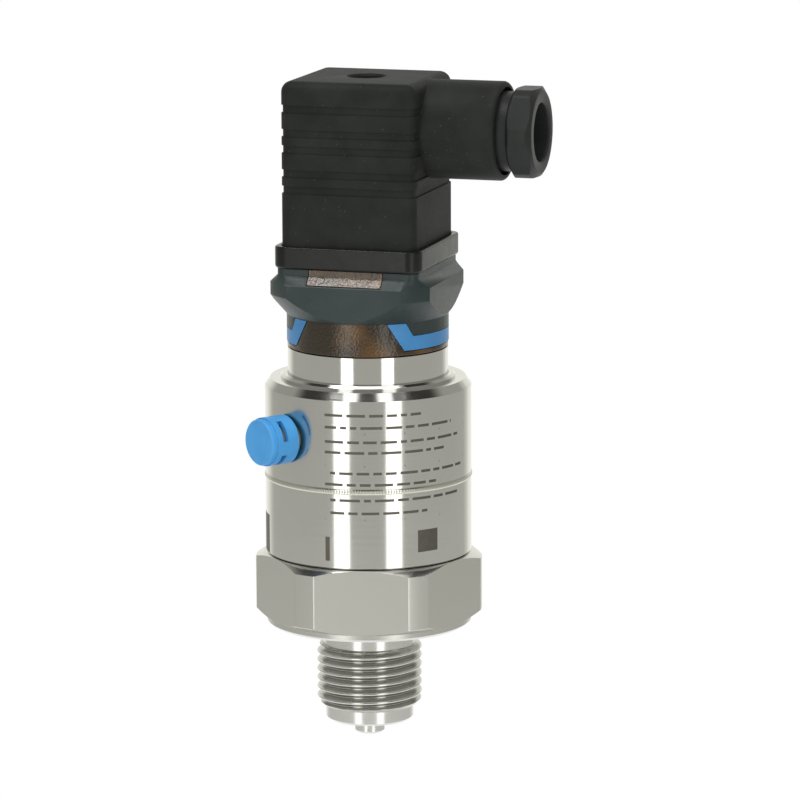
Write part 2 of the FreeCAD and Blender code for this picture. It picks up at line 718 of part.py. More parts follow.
def process_connection():
    """Manometer stub, seal land, hexagon with bevelled corners and the pocket for the cell."""
    body = new_body("process_connection")
    sketch = hexagon(sketch_on(body, "hexagon", "XY_Plane", "land_height"), "hex_flats", "hex_turn + 30")
    pad(body, sketch, "hex_length")
    corner_bevels(body, "hex", "hex_flats", "hex_flats / 2 + hex_chamfer_start", "land_height", "hex_top")

    sketch = outline(sketch_on(body, "stub", "XZ_Plane"), (
        ("0", "pin_end"),
        ("pin_dia / 2 - pin_chamfer", "pin_end"),
        ("pin_dia / 2", "pin_end + pin_chamfer"),
        ("pin_dia / 2", "tip_end"),
        ("tip_radius - tip_chamfer", "tip_end"),
        ("tip_radius", "tip_end + tip_chamfer"),
        ("tip_radius", "thread_end"),
        ("thread_dia / 2 - thread_chamfer", "thread_end"),
        ("thread_dia / 2", "thread_end + thread_chamfer"),
        ("thread_dia / 2", "-relief_length"),
        ("relief_radius", "-relief_length + relief_depth / 2"),
        ("relief_radius", "face_recess_depth"),
        ("thread_dia / 2 + face_recess_width", "face_recess_depth"),
        ("thread_dia / 2 + face_recess_width", "0"),
        ("land_radius - land_chamfer", "0"),
        ("land_radius", "land_chamfer"),
        ("land_radius", "land_height"),
        ("rim_radius", "land_height"),
        ("rim_radius", "rim_top"),
        ("0", "rim_top"),
    ))
    spin(body, "PartDesign::Revolution", sketch)
    turn_off(body, "pocket", (
        ("0", "pin_end"),
        ("inlet_dia / 2", "pin_end"),
        ("inlet_dia / 2", "seat_level - chamber_depth"),
        ("chamber_radius", "seat_level - chamber_depth"),
        ("chamber_radius", "seat_level"),
        ("seal_inner", "seat_level"),
        ("seal_inner", "seal_base"),
        ("seal_outer", "seal_base"),
        ("seal_outer", "seat_level"),
        ("pocket_radius", "seat_level"),
        ("pocket_radius", "rim_top"),
        ("0", "rim_top"),
    ))
    finish(body, "process_connection")


def measuring_cell():
    """Seal, ceramic diaphragm, joining ring, ceramic base, pins, washer and clamp ring."""
    finish(tube("cell_seal", "seal_outer", "seal_inner", "seal_base", "diaphragm_level"), "cell_seal")
    finish(disc("diaphragm", "cell_radius", "diaphragm_level", "braze_level"), "ceramic_diaphragm")
    body = tube("braze_ring", "cell_radius", "cell_radius - braze_width", "braze_level", "cell_level")
    finish(body, "braze_ring")

    body = tube("ceramic_base", "cell_radius", "reference_bore_dia / 2", "cell_level", "cell_top")
    sketch = sketch_on(body, "pin_holes", "XY_Plane", "cell_top")
    pins = []
    pin_level = "cell_top - cell_thickness / 2"
    for index, turn in enumerate(CELL_PIN_TURNS):
        x, y = polar("cell_pin_circle", turn)
        ring_outline(sketch, "cell_pin_dia / 2", x, y)
        pins.append(cylinder(f"cell_pin_{index}", "cell_pin_dia / 2", f"sensor_board_top - ({pin_level})",
                             x, y, pin_level))
    pocket(body, sketch, "cell_thickness / 2")
    finish(body, "ceramic_base")
    finish(group("cell_pin_group", pins), "cell_pins")

    finish(tube("support_washer", "cell_radius", "cell_radius - washer_width", "cell_top", "clamp_level"),
           "support_washer")
    body = tube("clamp_ring", "cell_radius", "cell_radius - clamp_width", "clamp_level", "clamp_top")
    sketch = rectangle(sketch_on(body, "spanner_slot", "XY_Plane", "clamp_top"), "cell_dia", "clamp_slot / 2")
    pocket(body, sketch, "clamp_slot / 2")
    finish(body, "clamp_ring")


# Steel housing

def housing():
    """Lower shell, upper shell with weld seam, shoulder and vent port, and the neck sleeve."""
    body = turned("sensor_housing", (
        ("housing_inner", "housing_base"),
        ("housing_radius - housing_chamfer", "housing_base"),
        ("housing_radius", "housing_base + housing_chamfer"),
        ("housing_radius", "seam_low"),
        ("housing_inner", "seam_low"),
    ))
    finish(body, "sensor_housing")

    lip_outer = "housing_inner - slip_gap"
    body = turned("upper_housing", (
        (f"{lip_outer} - lip_wall", "seam_low - lip_length"),
        (lip_outer, "seam_low - lip_length"),
        (lip_outer, "seam_low"),
        ("housing_radius", "seam_low"),
        ("housing_radius + seam_rise", "seam_low + seam_width / 4"),
        ("housing_radius + seam_rise", "seam_top - seam_width / 4"),
        ("housing_radius", "seam_top"),
        ("housing_radius", "shoulder_top - shoulder_bevel_height"),
        ("housing_radius - shoulder_bevel_width", "shoulder_top"),
        ("neck_radius + neck_step_width", "shoulder_top"),
        ("neck_radius + neck_step_width", "shoulder_top + neck_step_height / 2"),
        ("neck_radius + neck_step_width - neck_step_height / 2", "step_top"),
        ("neck_radius + slip_gap", "step_top"),
        ("neck_radius + slip_gap", "shoulder_level"),
        ("housing_inner", "shoulder_level"),
        ("housing_inner", "seam_top"),
        (f"{lip_outer} - lip_wall", "seam_low"),
    ))
    port = along_vent(cylinder("vent_port", "vent_port_radius", "2 * housing_radius"))
    finish(cut("upper_housing_bored", body, port), "upper_housing")

    body = turned("neck_sleeve", (
        ("neck_inner", "neck_foot_level"),
        ("neck_radius + neck_flange_width", "neck_foot_level"),
        ("neck_radius + neck_flange_width", "shoulder_level"),
        ("neck_radius", "shoulder_level"),
        ("neck_radius", "neck_top"),
        ("neck_inner", "neck_top"),
    ))
    finish(body, "neck_sleeve")


# Electronics

def electronics():
    """Carrier with two ledges, sensor board, main board with chips, and the leads between."""
    ledge = "tray_inner - ledge_width"
    body = turned("board_carrier", (
        ("tray_inner", "rim_top"),
        ("tray_radius", "rim_top"),
        ("tray_radius", "tray_top"),
        ("tray_inner", "tray_top"),
        ("tray_inner", "main_board_level"),
        (ledge, "main_board_level"),
        (ledge, "main_board_level - ledge_height"),
        ("tray_inner", "main_board_level - ledge_height"),
        ("tray_inner", "sensor_board_level"),
        (ledge, "sensor_board_level"),
        (ledge, "sensor_board_level - ledge_height"),
        ("tray_inner", "sensor_board_level - ledge_height"),
    ))
    opening = along_vent(cylinder("carrier_port", "vent_port_radius + tray_gap", "2 * housing_radius"))
    finish(cut("board_carrier_bored", body, opening), "board_carrier")

    body = disc("sensor_board", "board_radius", "sensor_board_level", "sensor_board_top")
    sketch = sketch_on(body, "board_holes", "XY_Plane", "sensor_board_top")
    for turn in CELL_PIN_TURNS:
        ring_outline(sketch, "cell_pin_dia / 2 + slip_gap", *polar("cell_pin_circle", turn))
    pocket(body, sketch, "board_thickness")
    finish(body, "sensor_board")
    finish(disc("main_board", "board_radius", "main_board_level", "main_board_top"), "main_board")

    chips = [
        block("chip_large", "chip_side", "chip_side", "chip_height", "-chip_side * 0.6", "chip_side * 0.4",
              "main_board_top"),
        block("chip_small", "chip_side * 0.7", "chip_side * 0.6", "chip_height", "chip_side * 0.5",
              "-chip_side * 0.3", "main_board_top"),
        block("chip_tall", "chip_side * 0.4", "chip_side * 0.7", "chip_height * 2", "-chip_side * 0.5",
              "-chip_side * 0.7", "main_board_top"),
    ]
    finish(group("chips", chips), "board_chips")

    pieces = [block("flex_strip", "flex_thickness", "flex_width", "main_board_level - (sensor_board_top)",
                    "flex_offset", "0", "sensor_board_top")]
    for name, height in (("low", "sensor_board_top"), ("high", "main_board_level - flex_thickness")):
        pieces.append(block(f"flex_foot_{name}", "flex_foot", "flex_width", "flex_thickness",
                            "flex_offset - flex_foot / 2", "0", height))
    finish(fuse("flex", pieces), "flex_lead")

    wires = []
    reach = "(blade_offset - blade_thickness / 2 - lead_dia / 2)"
    for name, turn in BLADES:
        wires.append(cylinder(f"{name}_lead", "lead_dia / 2",
                              "blade_level + blade_tail / 2 - (main_board_top)",
                              *polar(reach, turn), "main_board_top"))
    finish(group("leads", wires), "contact_leads")


# Contact carrier, collar and trim bands

def collar_blank():
    """The collar before its bore: cone, wide band, flat cheeks and a loft from round to square."""
    body = turned("collar_blank", (
        ("0", "collar_foot_level"),
        ("collar_foot_radius", "collar_foot_level"),
        ("band_radius", "band_level"),
        ("band_radius", "band_top"),
        ("0", "band_top"),
    ))
    for side in ("", "-"):
        sketch = sketch_on(body, "cheek_cut", "XY_Plane", "band_top")
        rectangle(sketch, "band_radius", "2 * band_radius", x=f"{side}(cheek_half + band_radius)")
        pocket(body, sketch, "band_top - (collar_foot_level)")

    cheek_y = "sqrt((band_radius) ^ 2 - (cheek_half) ^ 2)"
    flat = "(platform_half - platform_corner)"
    flat_y = f"sqrt((band_radius) ^ 2 - {flat} ^ 2)"
    lower = outline(sketch_on(body, "loft_round", "XY_Plane", "band_top"), (
        ("cheek_half", f"-{cheek_y}"),
        ("cheek_half", cheek_y, "band_radius"),
        (flat, flat_y, "band_radius"),
        (f"-{flat}", flat_y, "band_radius"),
        ("-cheek_half", cheek_y),
        ("-cheek_half", f"-{cheek_y}", "band_radius"),
        (f"-{flat}", f"-{flat_y}", "band_radius"),
        (flat, f"-{flat_y}", "band_radius"),
    ))
    upper = rounded_square(sketch_on(body, "loft_square", "XY_Plane", "platform_level"),
                           "platform_half", "platform_corner")
    loft = body.newObject("PartDesign::AdditiveLoft", "shoulder_loft")
    loft.Profile = lower
    loft.Sections = [upper]
    loft.Ruled = True
    doc.recompute([lower, upper, loft, body])
    sketch = rounded_square(sketch_on(body, "platform", "XY_Plane", "platform_level"),
                            "platform_half", "platform_corner")
    pad(body, sketch, "platform_height")
    return body


def window_edge(height, gap="0"):
    """Half the width of the amber window at this height."""
    slope = "(window_bottom_half - window_top_half) / (collar_foot_level - (trim_level))"
    return f"window_bottom_half + {gap} - {slope} * ({height} - (trim_level))"


def arm_edge(height, gap="0"):
    """Distance of a trim arm's outer edge from the middle at this height."""
    slope = "(trim_arm_half_low - trim_arm_half_high) / (trim_top - (trim_band_top))"
    return f"trim_arm_half_low + {gap} - {slope} * ({height} - (trim_band_top))"


def contact_carrier(blank):
    """Amber moulding: spigot in the neck, window bulges, core and the two tabs in the collar."""
    bevel = "strip_height / 4"
    core = turned("carrier_core", (
        ("spigot_radius - cup_wall", "spigot_level"),
        ("spigot_radius", "spigot_level"),
        ("spigot_radius", "ring_level"),
        ("spigot_radius - ring_groove_depth", "ring_level"),
        ("spigot_radius - ring_groove_depth", "ring_top"),
        ("spigot_radius", "ring_top"),
        ("spigot_radius", "strip_level"),
        (f"neck_radius - {bevel}", "strip_level"),
        ("neck_radius", f"strip_level + {bevel}"),
        ("neck_radius", "strip_top"),
        ("trim_seat_radius", "strip_top"),
        ("trim_seat_radius", "collar_foot_level"),
        ("core_radius", "collar_foot_level"),
        ("core_radius", "collar_top"),
        ("0", "collar_top"),
        ("0", "core_level"),
        ("spigot_radius - cup_wall", "core_level"),
    ))
    sink = "trim_depth / 2"
    low = f"strip_top - {sink}"
    band = hollow_ring("window_band", "neck_radius", f"trim_seat_radius - {sink}", low, "collar_foot_level")
    face = slab("window_face", (
        (f"-({window_edge(low)})", low),
        (window_edge(low), low),
        ("window_top_half", "collar_foot_level"),
        ("-window_top_half", "collar_foot_level"),
    ), "2 * neck_radius")
    windows = common("windows", [band, face])
    tab_box = block("tab_box", "2 * tab_half", "4 * band_radius", "collar_top - (band_top) - tab_gap",
                    z="band_top + tab_gap")
    tabs = common("tabs", [blank, tab_box])
    whole = fuse("carrier_whole", [core, windows, tabs])

    tools = [cylinder("insert_hole", "insert_radius + slip_gap", "insert_length + 2 * insert_sink",
                      z="insert_level")]
    for name, turn in BLADES:
        tools.append(blade_box(f"{name}_slot", turn, "slip_gap", "blade_level", "blade_top"))
    finish(cut("carrier_slotted", whole, fuse("carrier_tools", tools)), "contact_carrier")
    finish(tube("thread_insert", "insert_radius", "screw_radius + slip_gap", "insert_level", "insert_top"),
           "thread_insert")

    ring = doc.addObject("Part::Torus", "neck_ring")
    section = "(ring_groove_depth + spigot_gap - 2 * slip_gap) / 2"
    bind(ring, "Radius2", section)
    bind(ring, "Radius1", f"neck_inner - slip_gap - {section}")
    place(ring, z="(ring_level + ring_top) / 2")
    finish(ring, "neck_o_ring")


def blade_box(name, turn, gap, low, high):
    """A flat blade, its broad side facing the axis, made larger by a gap."""
    sides = [f"blade_thickness + 2 * {gap}", f"blade_width + 2 * {gap}"]
    if across(turn):
        sides.reverse()
    return block(name, *sides, f"{high} - ({low})", *polar("blade_offset", turn), low)


def contact_blades():
    """Four flat blades with bevelled tips."""
    for name, turn in BLADES:
        blade = blade_box(f"{name}_flat", turn, "0", "blade_level", "blade_top")
        doc.recompute([blade])
        bevel = doc.addObject("Part::Chamfer", f"{name}_bevelled")
        bevel.Base = blade
        top = size("blade_top")
        broad = size("blade_width") * 0.99
        depths = (size("blade_chamfer"), size("blade_thickness") * 0.35)
        edges = []
        for index, edge in enumerate(blade.Shape.Edges, 1):
            if lies_at(edge, "Z", top) and edge.Length > broad:
                edges.append((index, *depths))
        bevel.Edges = edges
        finish(bevel, name)


def collar(blank):
    """Grey collar: the blank with its bore and tab notches, and the skirts above the trim."""
    bore = cylinder("collar_bore", "core_radius + slip_gap", "2 * (collar_top - (collar_foot_level))",
                    z="collar_foot_level - cone_height")
    notch = block("collar_notch", "2 * (tab_half + tab_gap)", "4 * band_radius",
                  "2 * (collar_top - (band_top))", z="band_top")
    shell = cut("collar_shell", blank, fuse("collar_tools", [bore, notch]))
    ring = hollow_ring("skirt_ring", "collar_foot_radius", "trim_seat_radius + trim_gap", "skirt_level",
                       "collar_foot_level + trim_gap")
    high = "collar_foot_level + band_height"
    sides = []
    for side in ("", "-"):
        sides.append(slab("skirt_side", (
            (f"{side}({arm_edge('skirt_level', 'trim_gap')})", "skirt_level"),
            (f"{side}2 * neck_radius", "skirt_level"),
            (f"{side}2 * neck_radius", high),
            (f"{side}({arm_edge(high, 'trim_gap')})", high),
        ), "2 * neck_radius"))
    skirts = common("skirts", [ring, group("skirt_sides", sides)])
    finish(fuse("collar_whole", [shell, skirts]), "collar")


def trim_bands():
    """Blue bands seated round the contact carrier, each with two slanted arms."""
    ring = hollow_ring("trim_ring", "collar_foot_radius", "trim_seat_radius + slip_gap",
                       "trim_level", "trim_top")
    for label, side in (("trim_band_right", ""), ("trim_band_left", "-")):
        face = slab(f"{label}_face", (
            (f"{side}({window_edge('trim_level', 'trim_gap')})", "trim_level"),
            (f"{side}2 * neck_radius", "trim_level"),
            (f"{side}2 * neck_radius", "trim_band_top"),
            (f"{side}trim_arm_half_low", "trim_band_top"),
            (f"{side}trim_arm_half_high", "trim_top"),
            (f"{side}({window_edge('trim_top', 'trim_gap')})", "trim_top"),
        ), "2 * neck_radius")
        finish(common(f"{label}_cut", [ring, face]), label)


# Vent

def vent():
    """Vent body through the shell, seal ring, membrane and the blue cap with air slots."""
    body = turned("vent_body", (
        ("vent_bore_dia / 2", "vent_start"),
        ("vent_stem_radius", "vent_start"),
        ("vent_stem_radius", "vent_flange_start"),
        ("vent_flange_radius", "vent_flange_start"),
        ("vent_flange_radius", "vent_flange_end"),
        ("vent_bore_dia / 2", "vent_flange_end"),
    ))
    finish(along_vent(body), "vent_body")

    near = "vent_stem_radius + slip_gap"
    far = "vent_stem_radius + slip_gap + vent_ring_width"
    soft = "vent_ring_width / 4"
    ring = turned("vent_ring", (
        (near, f"vent_ring_start + {soft}"),
        (f"{near} + {soft}", "vent_ring_start"),
        (f"{far} - {soft}", "vent_ring_start"),
        (far, f"vent_ring_start + {soft}"),
        (far, f"vent_ring_end - {soft}"),
        (f"{far} - {soft}", "vent_ring_end"),
        (f"{near} + {soft}", "vent_ring_end"),
        (near, f"vent_ring_end - {soft}"),
    ))
    finish(along_vent(ring), "vent_seal_ring")
    body = disc("vent_membrane", "vent_stem_radius + membrane_overlap", "vent_flange_end",
                "vent_flange_end + membrane_thickness")
    finish(along_vent(body), "vent_membrane")

    body = turned("vent_cap", (
        ("cap_inner", "cap_start"),
        ("cap_radius - cap_step", "cap_start"),
        ("cap_radius", "cap_start + cap_step"),
        ("cap_radius", "cap_end - cap_face_thickness"),
        ("cap_radius - cap_step", "cap_end - cap_face_thickness"),
        ("cap_radius - cap_step", "cap_end - cap_step"),
        ("cap_radius - 2 * cap_step", "cap_end"),
        ("0", "cap_end"),
        ("0", "cap_end - cap_face_thickness"),
        ("cap_inner", "cap_end - cap_face_thickness"),
    ))
    sketch = sketch_on(body, "air_slot", "XY_Plane", "cap_start + cap_slot_rise + cap_slot_height")
    rectangle(sketch, "cap_wall * 1.5", "cap_slot_width / 2", x="cap_radius")
    slot = pocket(body, sketch, "cap_slot_height")
    pattern = body.newObject("PartDesign::PolarPattern", "air_slots")
    pattern.Originals = [slot]
    pattern.Axis = (sketch, ["N_Axis"])
    pattern.Angle = 360
    pattern.Occurrences = 4
    body.Tip = pattern
    finish(along_vent(body), "vent_cap")


# Valve plug

def plug_gasket():
    """Rubber gasket: a floor with openings for the blades, and a rim round the plug."""
    body = new_body("plug_gasket")
    sketch = rounded_square(sketch_on(body, "gasket_outline", "XY_Plane", "collar_top"),
                            "gasket_half", "gasket_corner")
    pad(body, sketch, "gasket_height")
    low = size("collar_top")
    round_edges(body, "gasket_lower_edge", "gasket_edge", lambda edge: lies_at(edge, "Z", low))
    sketch = rounded_square(sketch_on(body, "gasket_recess", "XY_Plane", "gasket_top"),
                            "plug_half + plug_gap", "plug_corner + plug_gap")
    pocket(body, sketch, "gasket_height - gasket_floor")
    sketch = sketch_on(body, "gasket_holes", "XY_Plane", "floor_top")
    ring_outline(sketch, "screw_hole_radius")
    for _name, turn in BLADES:
        halves = ["clamp_slot_deep / 2", "clamp_slot_wide / 2"]
        if across(turn):
            halves.reverse()
        rectangle(sketch, *halves, *polar("blade_offset", turn))
    pocket(body, sketch, "gasket_floor")
    finish(body, "plug_gasket")


def plug_housing():
    """Square black shell with finger grooves, screw tower and the round gland barrel."""
    body = new_body("plug_housing")
    sketch = rounded_square(sketch_on(body, "plug_outline", "XY_Plane", "plug_level"),
                            "plug_half", "plug_corner")
    pad(body, sketch, "plug_top - (plug_level)")
    high = size("plug_top")
    round_edges(body, "plug_upper_edge", "plug_edge", lambda edge: lies_at(edge, "Z", high))

    for long_steps, short_steps in GRIPS:
        drop = f"grip_drop + {long_steps} * grip_long_step + {short_steps} * grip_short_step"
        sketch = sketch_on(body, "grip", "XY_Plane", f"plug_top - ({drop}) + grip_width / 2")
        rectangle(sketch, "2 * plug_half", "2 * plug_half")
        rounded_square(sketch, "plug_half - grip_depth", "plug_corner - grip_depth")
        pocket(body, sketch, "grip_width")

    sketch = sketch_on(body, "barrel", "YZ_Plane", "plug_half / 2")
    ring_outline(sketch, "barrel_radius", y="barrel_level")
    pad(body, sketch, "barrel_end - plug_half / 2")
    end = size("barrel_end")
    round_edges(body, "barrel_rim", "barrel_edge", lambda edge: lies_at(edge, "X", end))

    sketch = rounded_square(sketch_on(body, "plug_cavity", "XY_Plane", "plug_level"),
                            "plug_inner", "block_corner")
    pocket(body, sketch, "roof_level - (plug_level)", reverse=True)
    sketch = ring_outline(sketch_on(body, "screw_tower", "XY_Plane", "roof_level"), "tower_radius")
    pad(body, sketch, "roof_level - (tower_level)", reverse=True)
    sketch = ring_outline(sketch_on(body, "driver_hole", "XY_Plane", "plug_top"), "driver_radius")
    pocket(body, sketch, "plug_top - (screw_seat_level)")
    sketch = ring_outline(sketch_on(body, "screw_hole", "XY_Plane", "screw_seat_level"), "screw_hole_radius")
    pocket(body, sketch, "tower_floor")
    turn_off(body, "driver_hole_bevel", (
        ("driver_radius - driver_rim", "plug_top"),
        ("driver_radius", "plug_top - driver_rim"),
        ("driver_radius + driver_rim", "plug_top"),
    ))

    for name, radius, start, length in (
        ("barrel_bore", "bore_radius", "barrel_end", "barrel_end - (bush_start)"),
        ("barrel_mouth", "bore_radius + mouth_step", "barrel_end", "mouth_depth"),
        ("wire_hole", "wire_hole_dia / 2", "bush_start", "bush_start - (plug_inner) + plug_wall / 2"),
    ):
        sketch = ring_outline(sketch_on(body, name, "YZ_Plane", start), radius, y="barrel_level")
        pocket(body, sketch, length)
    finish(body, "plug_housing")


def cable_gland():
    """Rubber bush, thrust washer and hexagon nut on the barrel's axis."""
    body = tube("gland_bush", "bush_radius", "bush_bore_dia / 2", "bush_start", "bush_end")
    finish(along_barrel(body), "gland_bush")
    body = tube("gland_washer", "bush_radius", "nut_bore_radius", "thrust_start", "thrust_end")
    finish(along_barrel(body), "gland_washer")

    body = new_body("gland_nut")
    sketch = hexagon(sketch_on(body, "nut_hexagon", "XY_Plane", "nut_hex_start"), "nut_flats", "nut_turn")
    pad(body, sketch, "nut_hex_length")
    turn_off(body, "nut_corners", (
        ("nut_corner_radius", "nut_hex_start"),
        ("nut_flats", "nut_hex_start"),
        ("nut_flats", "nut_end"),
        ("nut_corner_radius", "nut_end"),
    ))
    corner_bevels(body, "nut", "nut_flats", "nut_flats / 2 + nut_chamfer_start", "nut_hex_start", "nut_end")
    sketch = ring_outline(sketch_on(body, "nut_shank", "XY_Plane", "nut_start"), "nut_shank_radius")
    pad(body, sketch, "nut_hex_start - (nut_start)")
    turn_off(body, "nut_bore", (
        ("0", "nut_start"),
        ("nut_bore_radius", "nut_start"),
        ("nut_bore_radius", "nut_end - nut_funnel_depth"),
        ("nut_bore_radius + nut_funnel_width", "nut_end"),
        ("0", "nut_end"),
    ))
    finish(along_barrel(body), "gland_nut")


def terminals():
    """Terminal block with four brass clamps and their screws."""
    body = new_body("terminal_block")
    sketch = rounded_square(sketch_on(body, "block_outline", "XY_Plane", "block_level"),
                            "block_half", "block_corner")
    pad(body, sketch, "block_top - (block_level)")
    sketch = ring_outline(sketch_on(body, "block_screw_hole", "XY_Plane", "block_top"), "screw_hole_radius")
    pocket(body, sketch, "block_top - (block_level)")

    clamps = []
    screws = []
    stem_level = "blade_top + clamp_screw_gap"
    for name, turn in BLADES:
        spot = polar("blade_offset", turn)
        cell = ["clamp_block_depth / 2 + slip_gap", "clamp_block_width / 2 + slip_gap"]
        sides = ["clamp_block_depth", "clamp_block_width"]
        slot = ["clamp_slot_deep", "clamp_slot_wide"]
        if across(turn):
            for pair in (cell, sides, slot):
                pair.reverse()
        sketch = rectangle(sketch_on(body, f"{name}_cell", "XY_Plane", "block_top"), *cell, *spot)
        pocket(body, sketch, "block_top - (clamp_block_level)")
        sketch = rectangle(sketch_on(body, f"{name}_entry", "XY_Plane", "clamp_block_level"),
                           *[f"{side} / 2" for side in slot], *spot)
        pocket(body, sketch, "clamp_block_foot")

        solid = block(f"{name}_clamp", *sides, "clamp_block_top - (clamp_block_level)",
                      *spot, "clamp_block_level")
        entry = block(f"{name}_clamp_slot", *slot, "blade_top + clamp_screw_gap / 2 - (block_level)",
                      *spot, "block_level")
        thread = cylinder(f"{name}_clamp_thread", "clamp_screw_dia / 2 + slip_gap",
                          "clamp_block_headroom * 2", *spot, "blade_top")
        clamps.append(cut(f"{name}_clamp_cut", solid, fuse(f"{name}_clamp_tools", [entry, thread])))
        stem = cylinder(f"{name}_clamp_stem", "clamp_screw_dia / 2",
                        f"clamp_block_top - ({stem_level})", *spot, stem_level)
        head = cylinder(f"{name}_clamp_head", "clamp_head_dia / 2", "clamp_head_height",
                        *spot, "clamp_block_top")
        screws.append(fuse(f"{name}_clamp_screw", [stem, head]))
    finish(body, "terminal_block")
    finish(group("clamp_group", clamps), "terminal_clamps")
    finish(group("clamp_screw_group", screws), "terminal_screws")


def fixing_screw():
    """Long slotted screw through the plug into the brass insert, with its seal."""
    body = turned("fixing_screw", (
        ("0", "screw_tip_level"),
        ("screw_radius - screw_tip_chamfer", "screw_tip_level"),
        ("screw_radius", "screw_tip_level + screw_tip_chamfer"),
        ("screw_radius", "screw_head_level"),
        ("screw_head_dia / 2", "screw_head_level"),
        ("screw_head_dia / 2", "screw_head_top"),
        ("0", "screw_head_top"),
    ))
    sketch = sketch_on(body, "driver_slot", "XY_Plane", "screw_head_top")
    rectangle(sketch, "screw_head_dia", "screw_slot / 2")
    pocket(body, sketch, "screw_slot_depth")
    finish(body, "fixing_screw")
    finish(tube("screw_seal", "screw_head_dia / 2", "screw_radius + slip_gap", "screw_seat_level",
                "screw_head_level"), "screw_seal")


def check_and_write():
    """Stops on any failed object, then writes one file for each sub-part."""
    doc.recompute()
    for thing in doc.Objects:
        bad = [state for state in thing.State if state in ("Invalid", "Error")]
        if bad:
            raise ValueError(f"{thing.Name} is {bad}")
    os.makedirs("parts", exist_ok=True)
    for thing in nodes:
        shape = thing.Shape
        if shape.isNull() or not shape.isValid() or shape.Volume <= 0:
            raise ValueError(f"{thing.Label} has no valid solid")
        shape.exportStep(f"parts/{thing.Label}.step")
        print(f"{thing.Label}: {len(shape.Solids)} solid(s), {shape.Volume:.2f} mm3")


fill_sheet()
process_connection()
measuring_cell()
housing()
electronics()
blank = collar_blank()
contact_carrier(blank)
contact_blades()
collar(blank)
trim_bands()
vent()
plug_gasket()
plug_housing()
cable_gland()
terminals()
fixing_screw()
check_and_write()
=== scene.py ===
"""Looks of a pressure transmitter with a valve plug: numpy surfaces, finishes in nodes, studio and camera."""

import json
import math

import bmesh
import bpy
import numpy as np
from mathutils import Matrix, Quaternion, Vector


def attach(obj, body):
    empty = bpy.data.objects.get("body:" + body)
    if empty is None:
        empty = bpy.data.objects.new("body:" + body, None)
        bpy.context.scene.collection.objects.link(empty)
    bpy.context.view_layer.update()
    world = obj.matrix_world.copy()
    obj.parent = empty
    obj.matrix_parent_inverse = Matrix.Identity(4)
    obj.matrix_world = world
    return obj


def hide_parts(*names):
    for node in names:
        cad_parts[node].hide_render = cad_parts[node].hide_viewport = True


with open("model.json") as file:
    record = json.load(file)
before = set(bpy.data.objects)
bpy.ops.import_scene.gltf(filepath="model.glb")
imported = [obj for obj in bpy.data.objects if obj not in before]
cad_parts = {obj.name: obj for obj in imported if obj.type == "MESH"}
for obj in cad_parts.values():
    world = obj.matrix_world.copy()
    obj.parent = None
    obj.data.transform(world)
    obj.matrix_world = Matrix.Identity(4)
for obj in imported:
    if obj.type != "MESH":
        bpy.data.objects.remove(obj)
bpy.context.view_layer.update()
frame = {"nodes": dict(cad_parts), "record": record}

MM = 0.001

# Camera, where the photograph was taken from: degrees from the front, and millimetres
VIEW_TURN = 17.5
VIEW_DISTANCE = 900.0
VIEW_HEIGHT = 216.0
AIM_HEIGHT = 44.5
AIM_ASIDE = 6.3
LENS = 208.0
SENSOR = 36.0
LEAN = 0.22
NEAREST, FARTHEST = 0.05, 10.0  # metres

# Studio: lengths in metres, light as a share of white, and spans of a direction's part along an axis
FLOOR_LEVEL = -0.3
FLOOR_REACH = 0.95
FLOOR_SIDES = 96
PAPER_LIFT = 0.6
AIR_LIGHT = 0.5
ROOM_SPAN, ROOM_LIGHT = (-0.27, -0.12), (0.72, 0.5)
BACK_SPAN, BACK_LIGHT = (0.68, 0.86), 1.1
CEILING_SPAN, CEILING_LIGHT = (0.5, 0.65), 0.05
CEILING_LEAN = 0.3
WARM_ROOM = (1.0, 0.995, 0.93, 1.0)
WHITE = (1.0, 1.0, 1.0, 1.0)

# Soft boxes: name, degrees from the camera's side, height, distance, two sides, glow, height aimed at
LAMPS = (
    ("strip_left", -29.9, 0.36, 0.9, 0.275, 1.3, 2.2, 0.36),
    ("strip_right", 28.0, 0.36, 0.9, 0.275, 1.3, 2.2, 0.36),
    ("high_left", -29.9, 1.15, 0.7, 0.275, 0.5, 2.2, 0.05),
    ("high_right", 28.0, 1.15, 0.7, 0.275, 0.5, 2.2, 0.05),
    ("high_side", -70.0, 1.3, 0.49, 0.35, 0.35, 9.0, 0.07),
    ("high_back", 149.0, 1.3, 0.665, 0.4, 0.4, 2.2, 0.01),
    ("overhead", 0.0, 1.3, 0.18, 1.4, 0.45, 2.6, 0.0),
)

# Thread of the process connection, in millimetres: G 1/2 with its 55 degree flanks. By its standard, the
# crest's radius, the distance where a flank begins, and the depth are shares of the pitch
CROWN_RADIUS = 10.4775
PITCH = 1.814
CREST_ROUND = 0.1373 * PITCH
FLANK_START = 0.1218 * PITCH
FLANK_SLOPE = 1.921
THREAD_DEPTH = 0.6403 * PITCH
THREAD_LOW = -17.0
THREAD_BEVEL = 1.1
RELIEF_RADIUS = 9.1975
RELIEF_START = -4.46
RUN_OUT_SLOPE = 2
ROWS_PER_PITCH = 24

# Hexagon of the process connection, in millimetres and degrees
HEX_HALF = 20.5
HEX_CORNER = 22.5
HEX_TURN = 42.9
HEX_LOW = 1.4
HEX_HIGH = 14.4
BEVEL_START = 20.4
BEVEL_ANGLE = 30.0

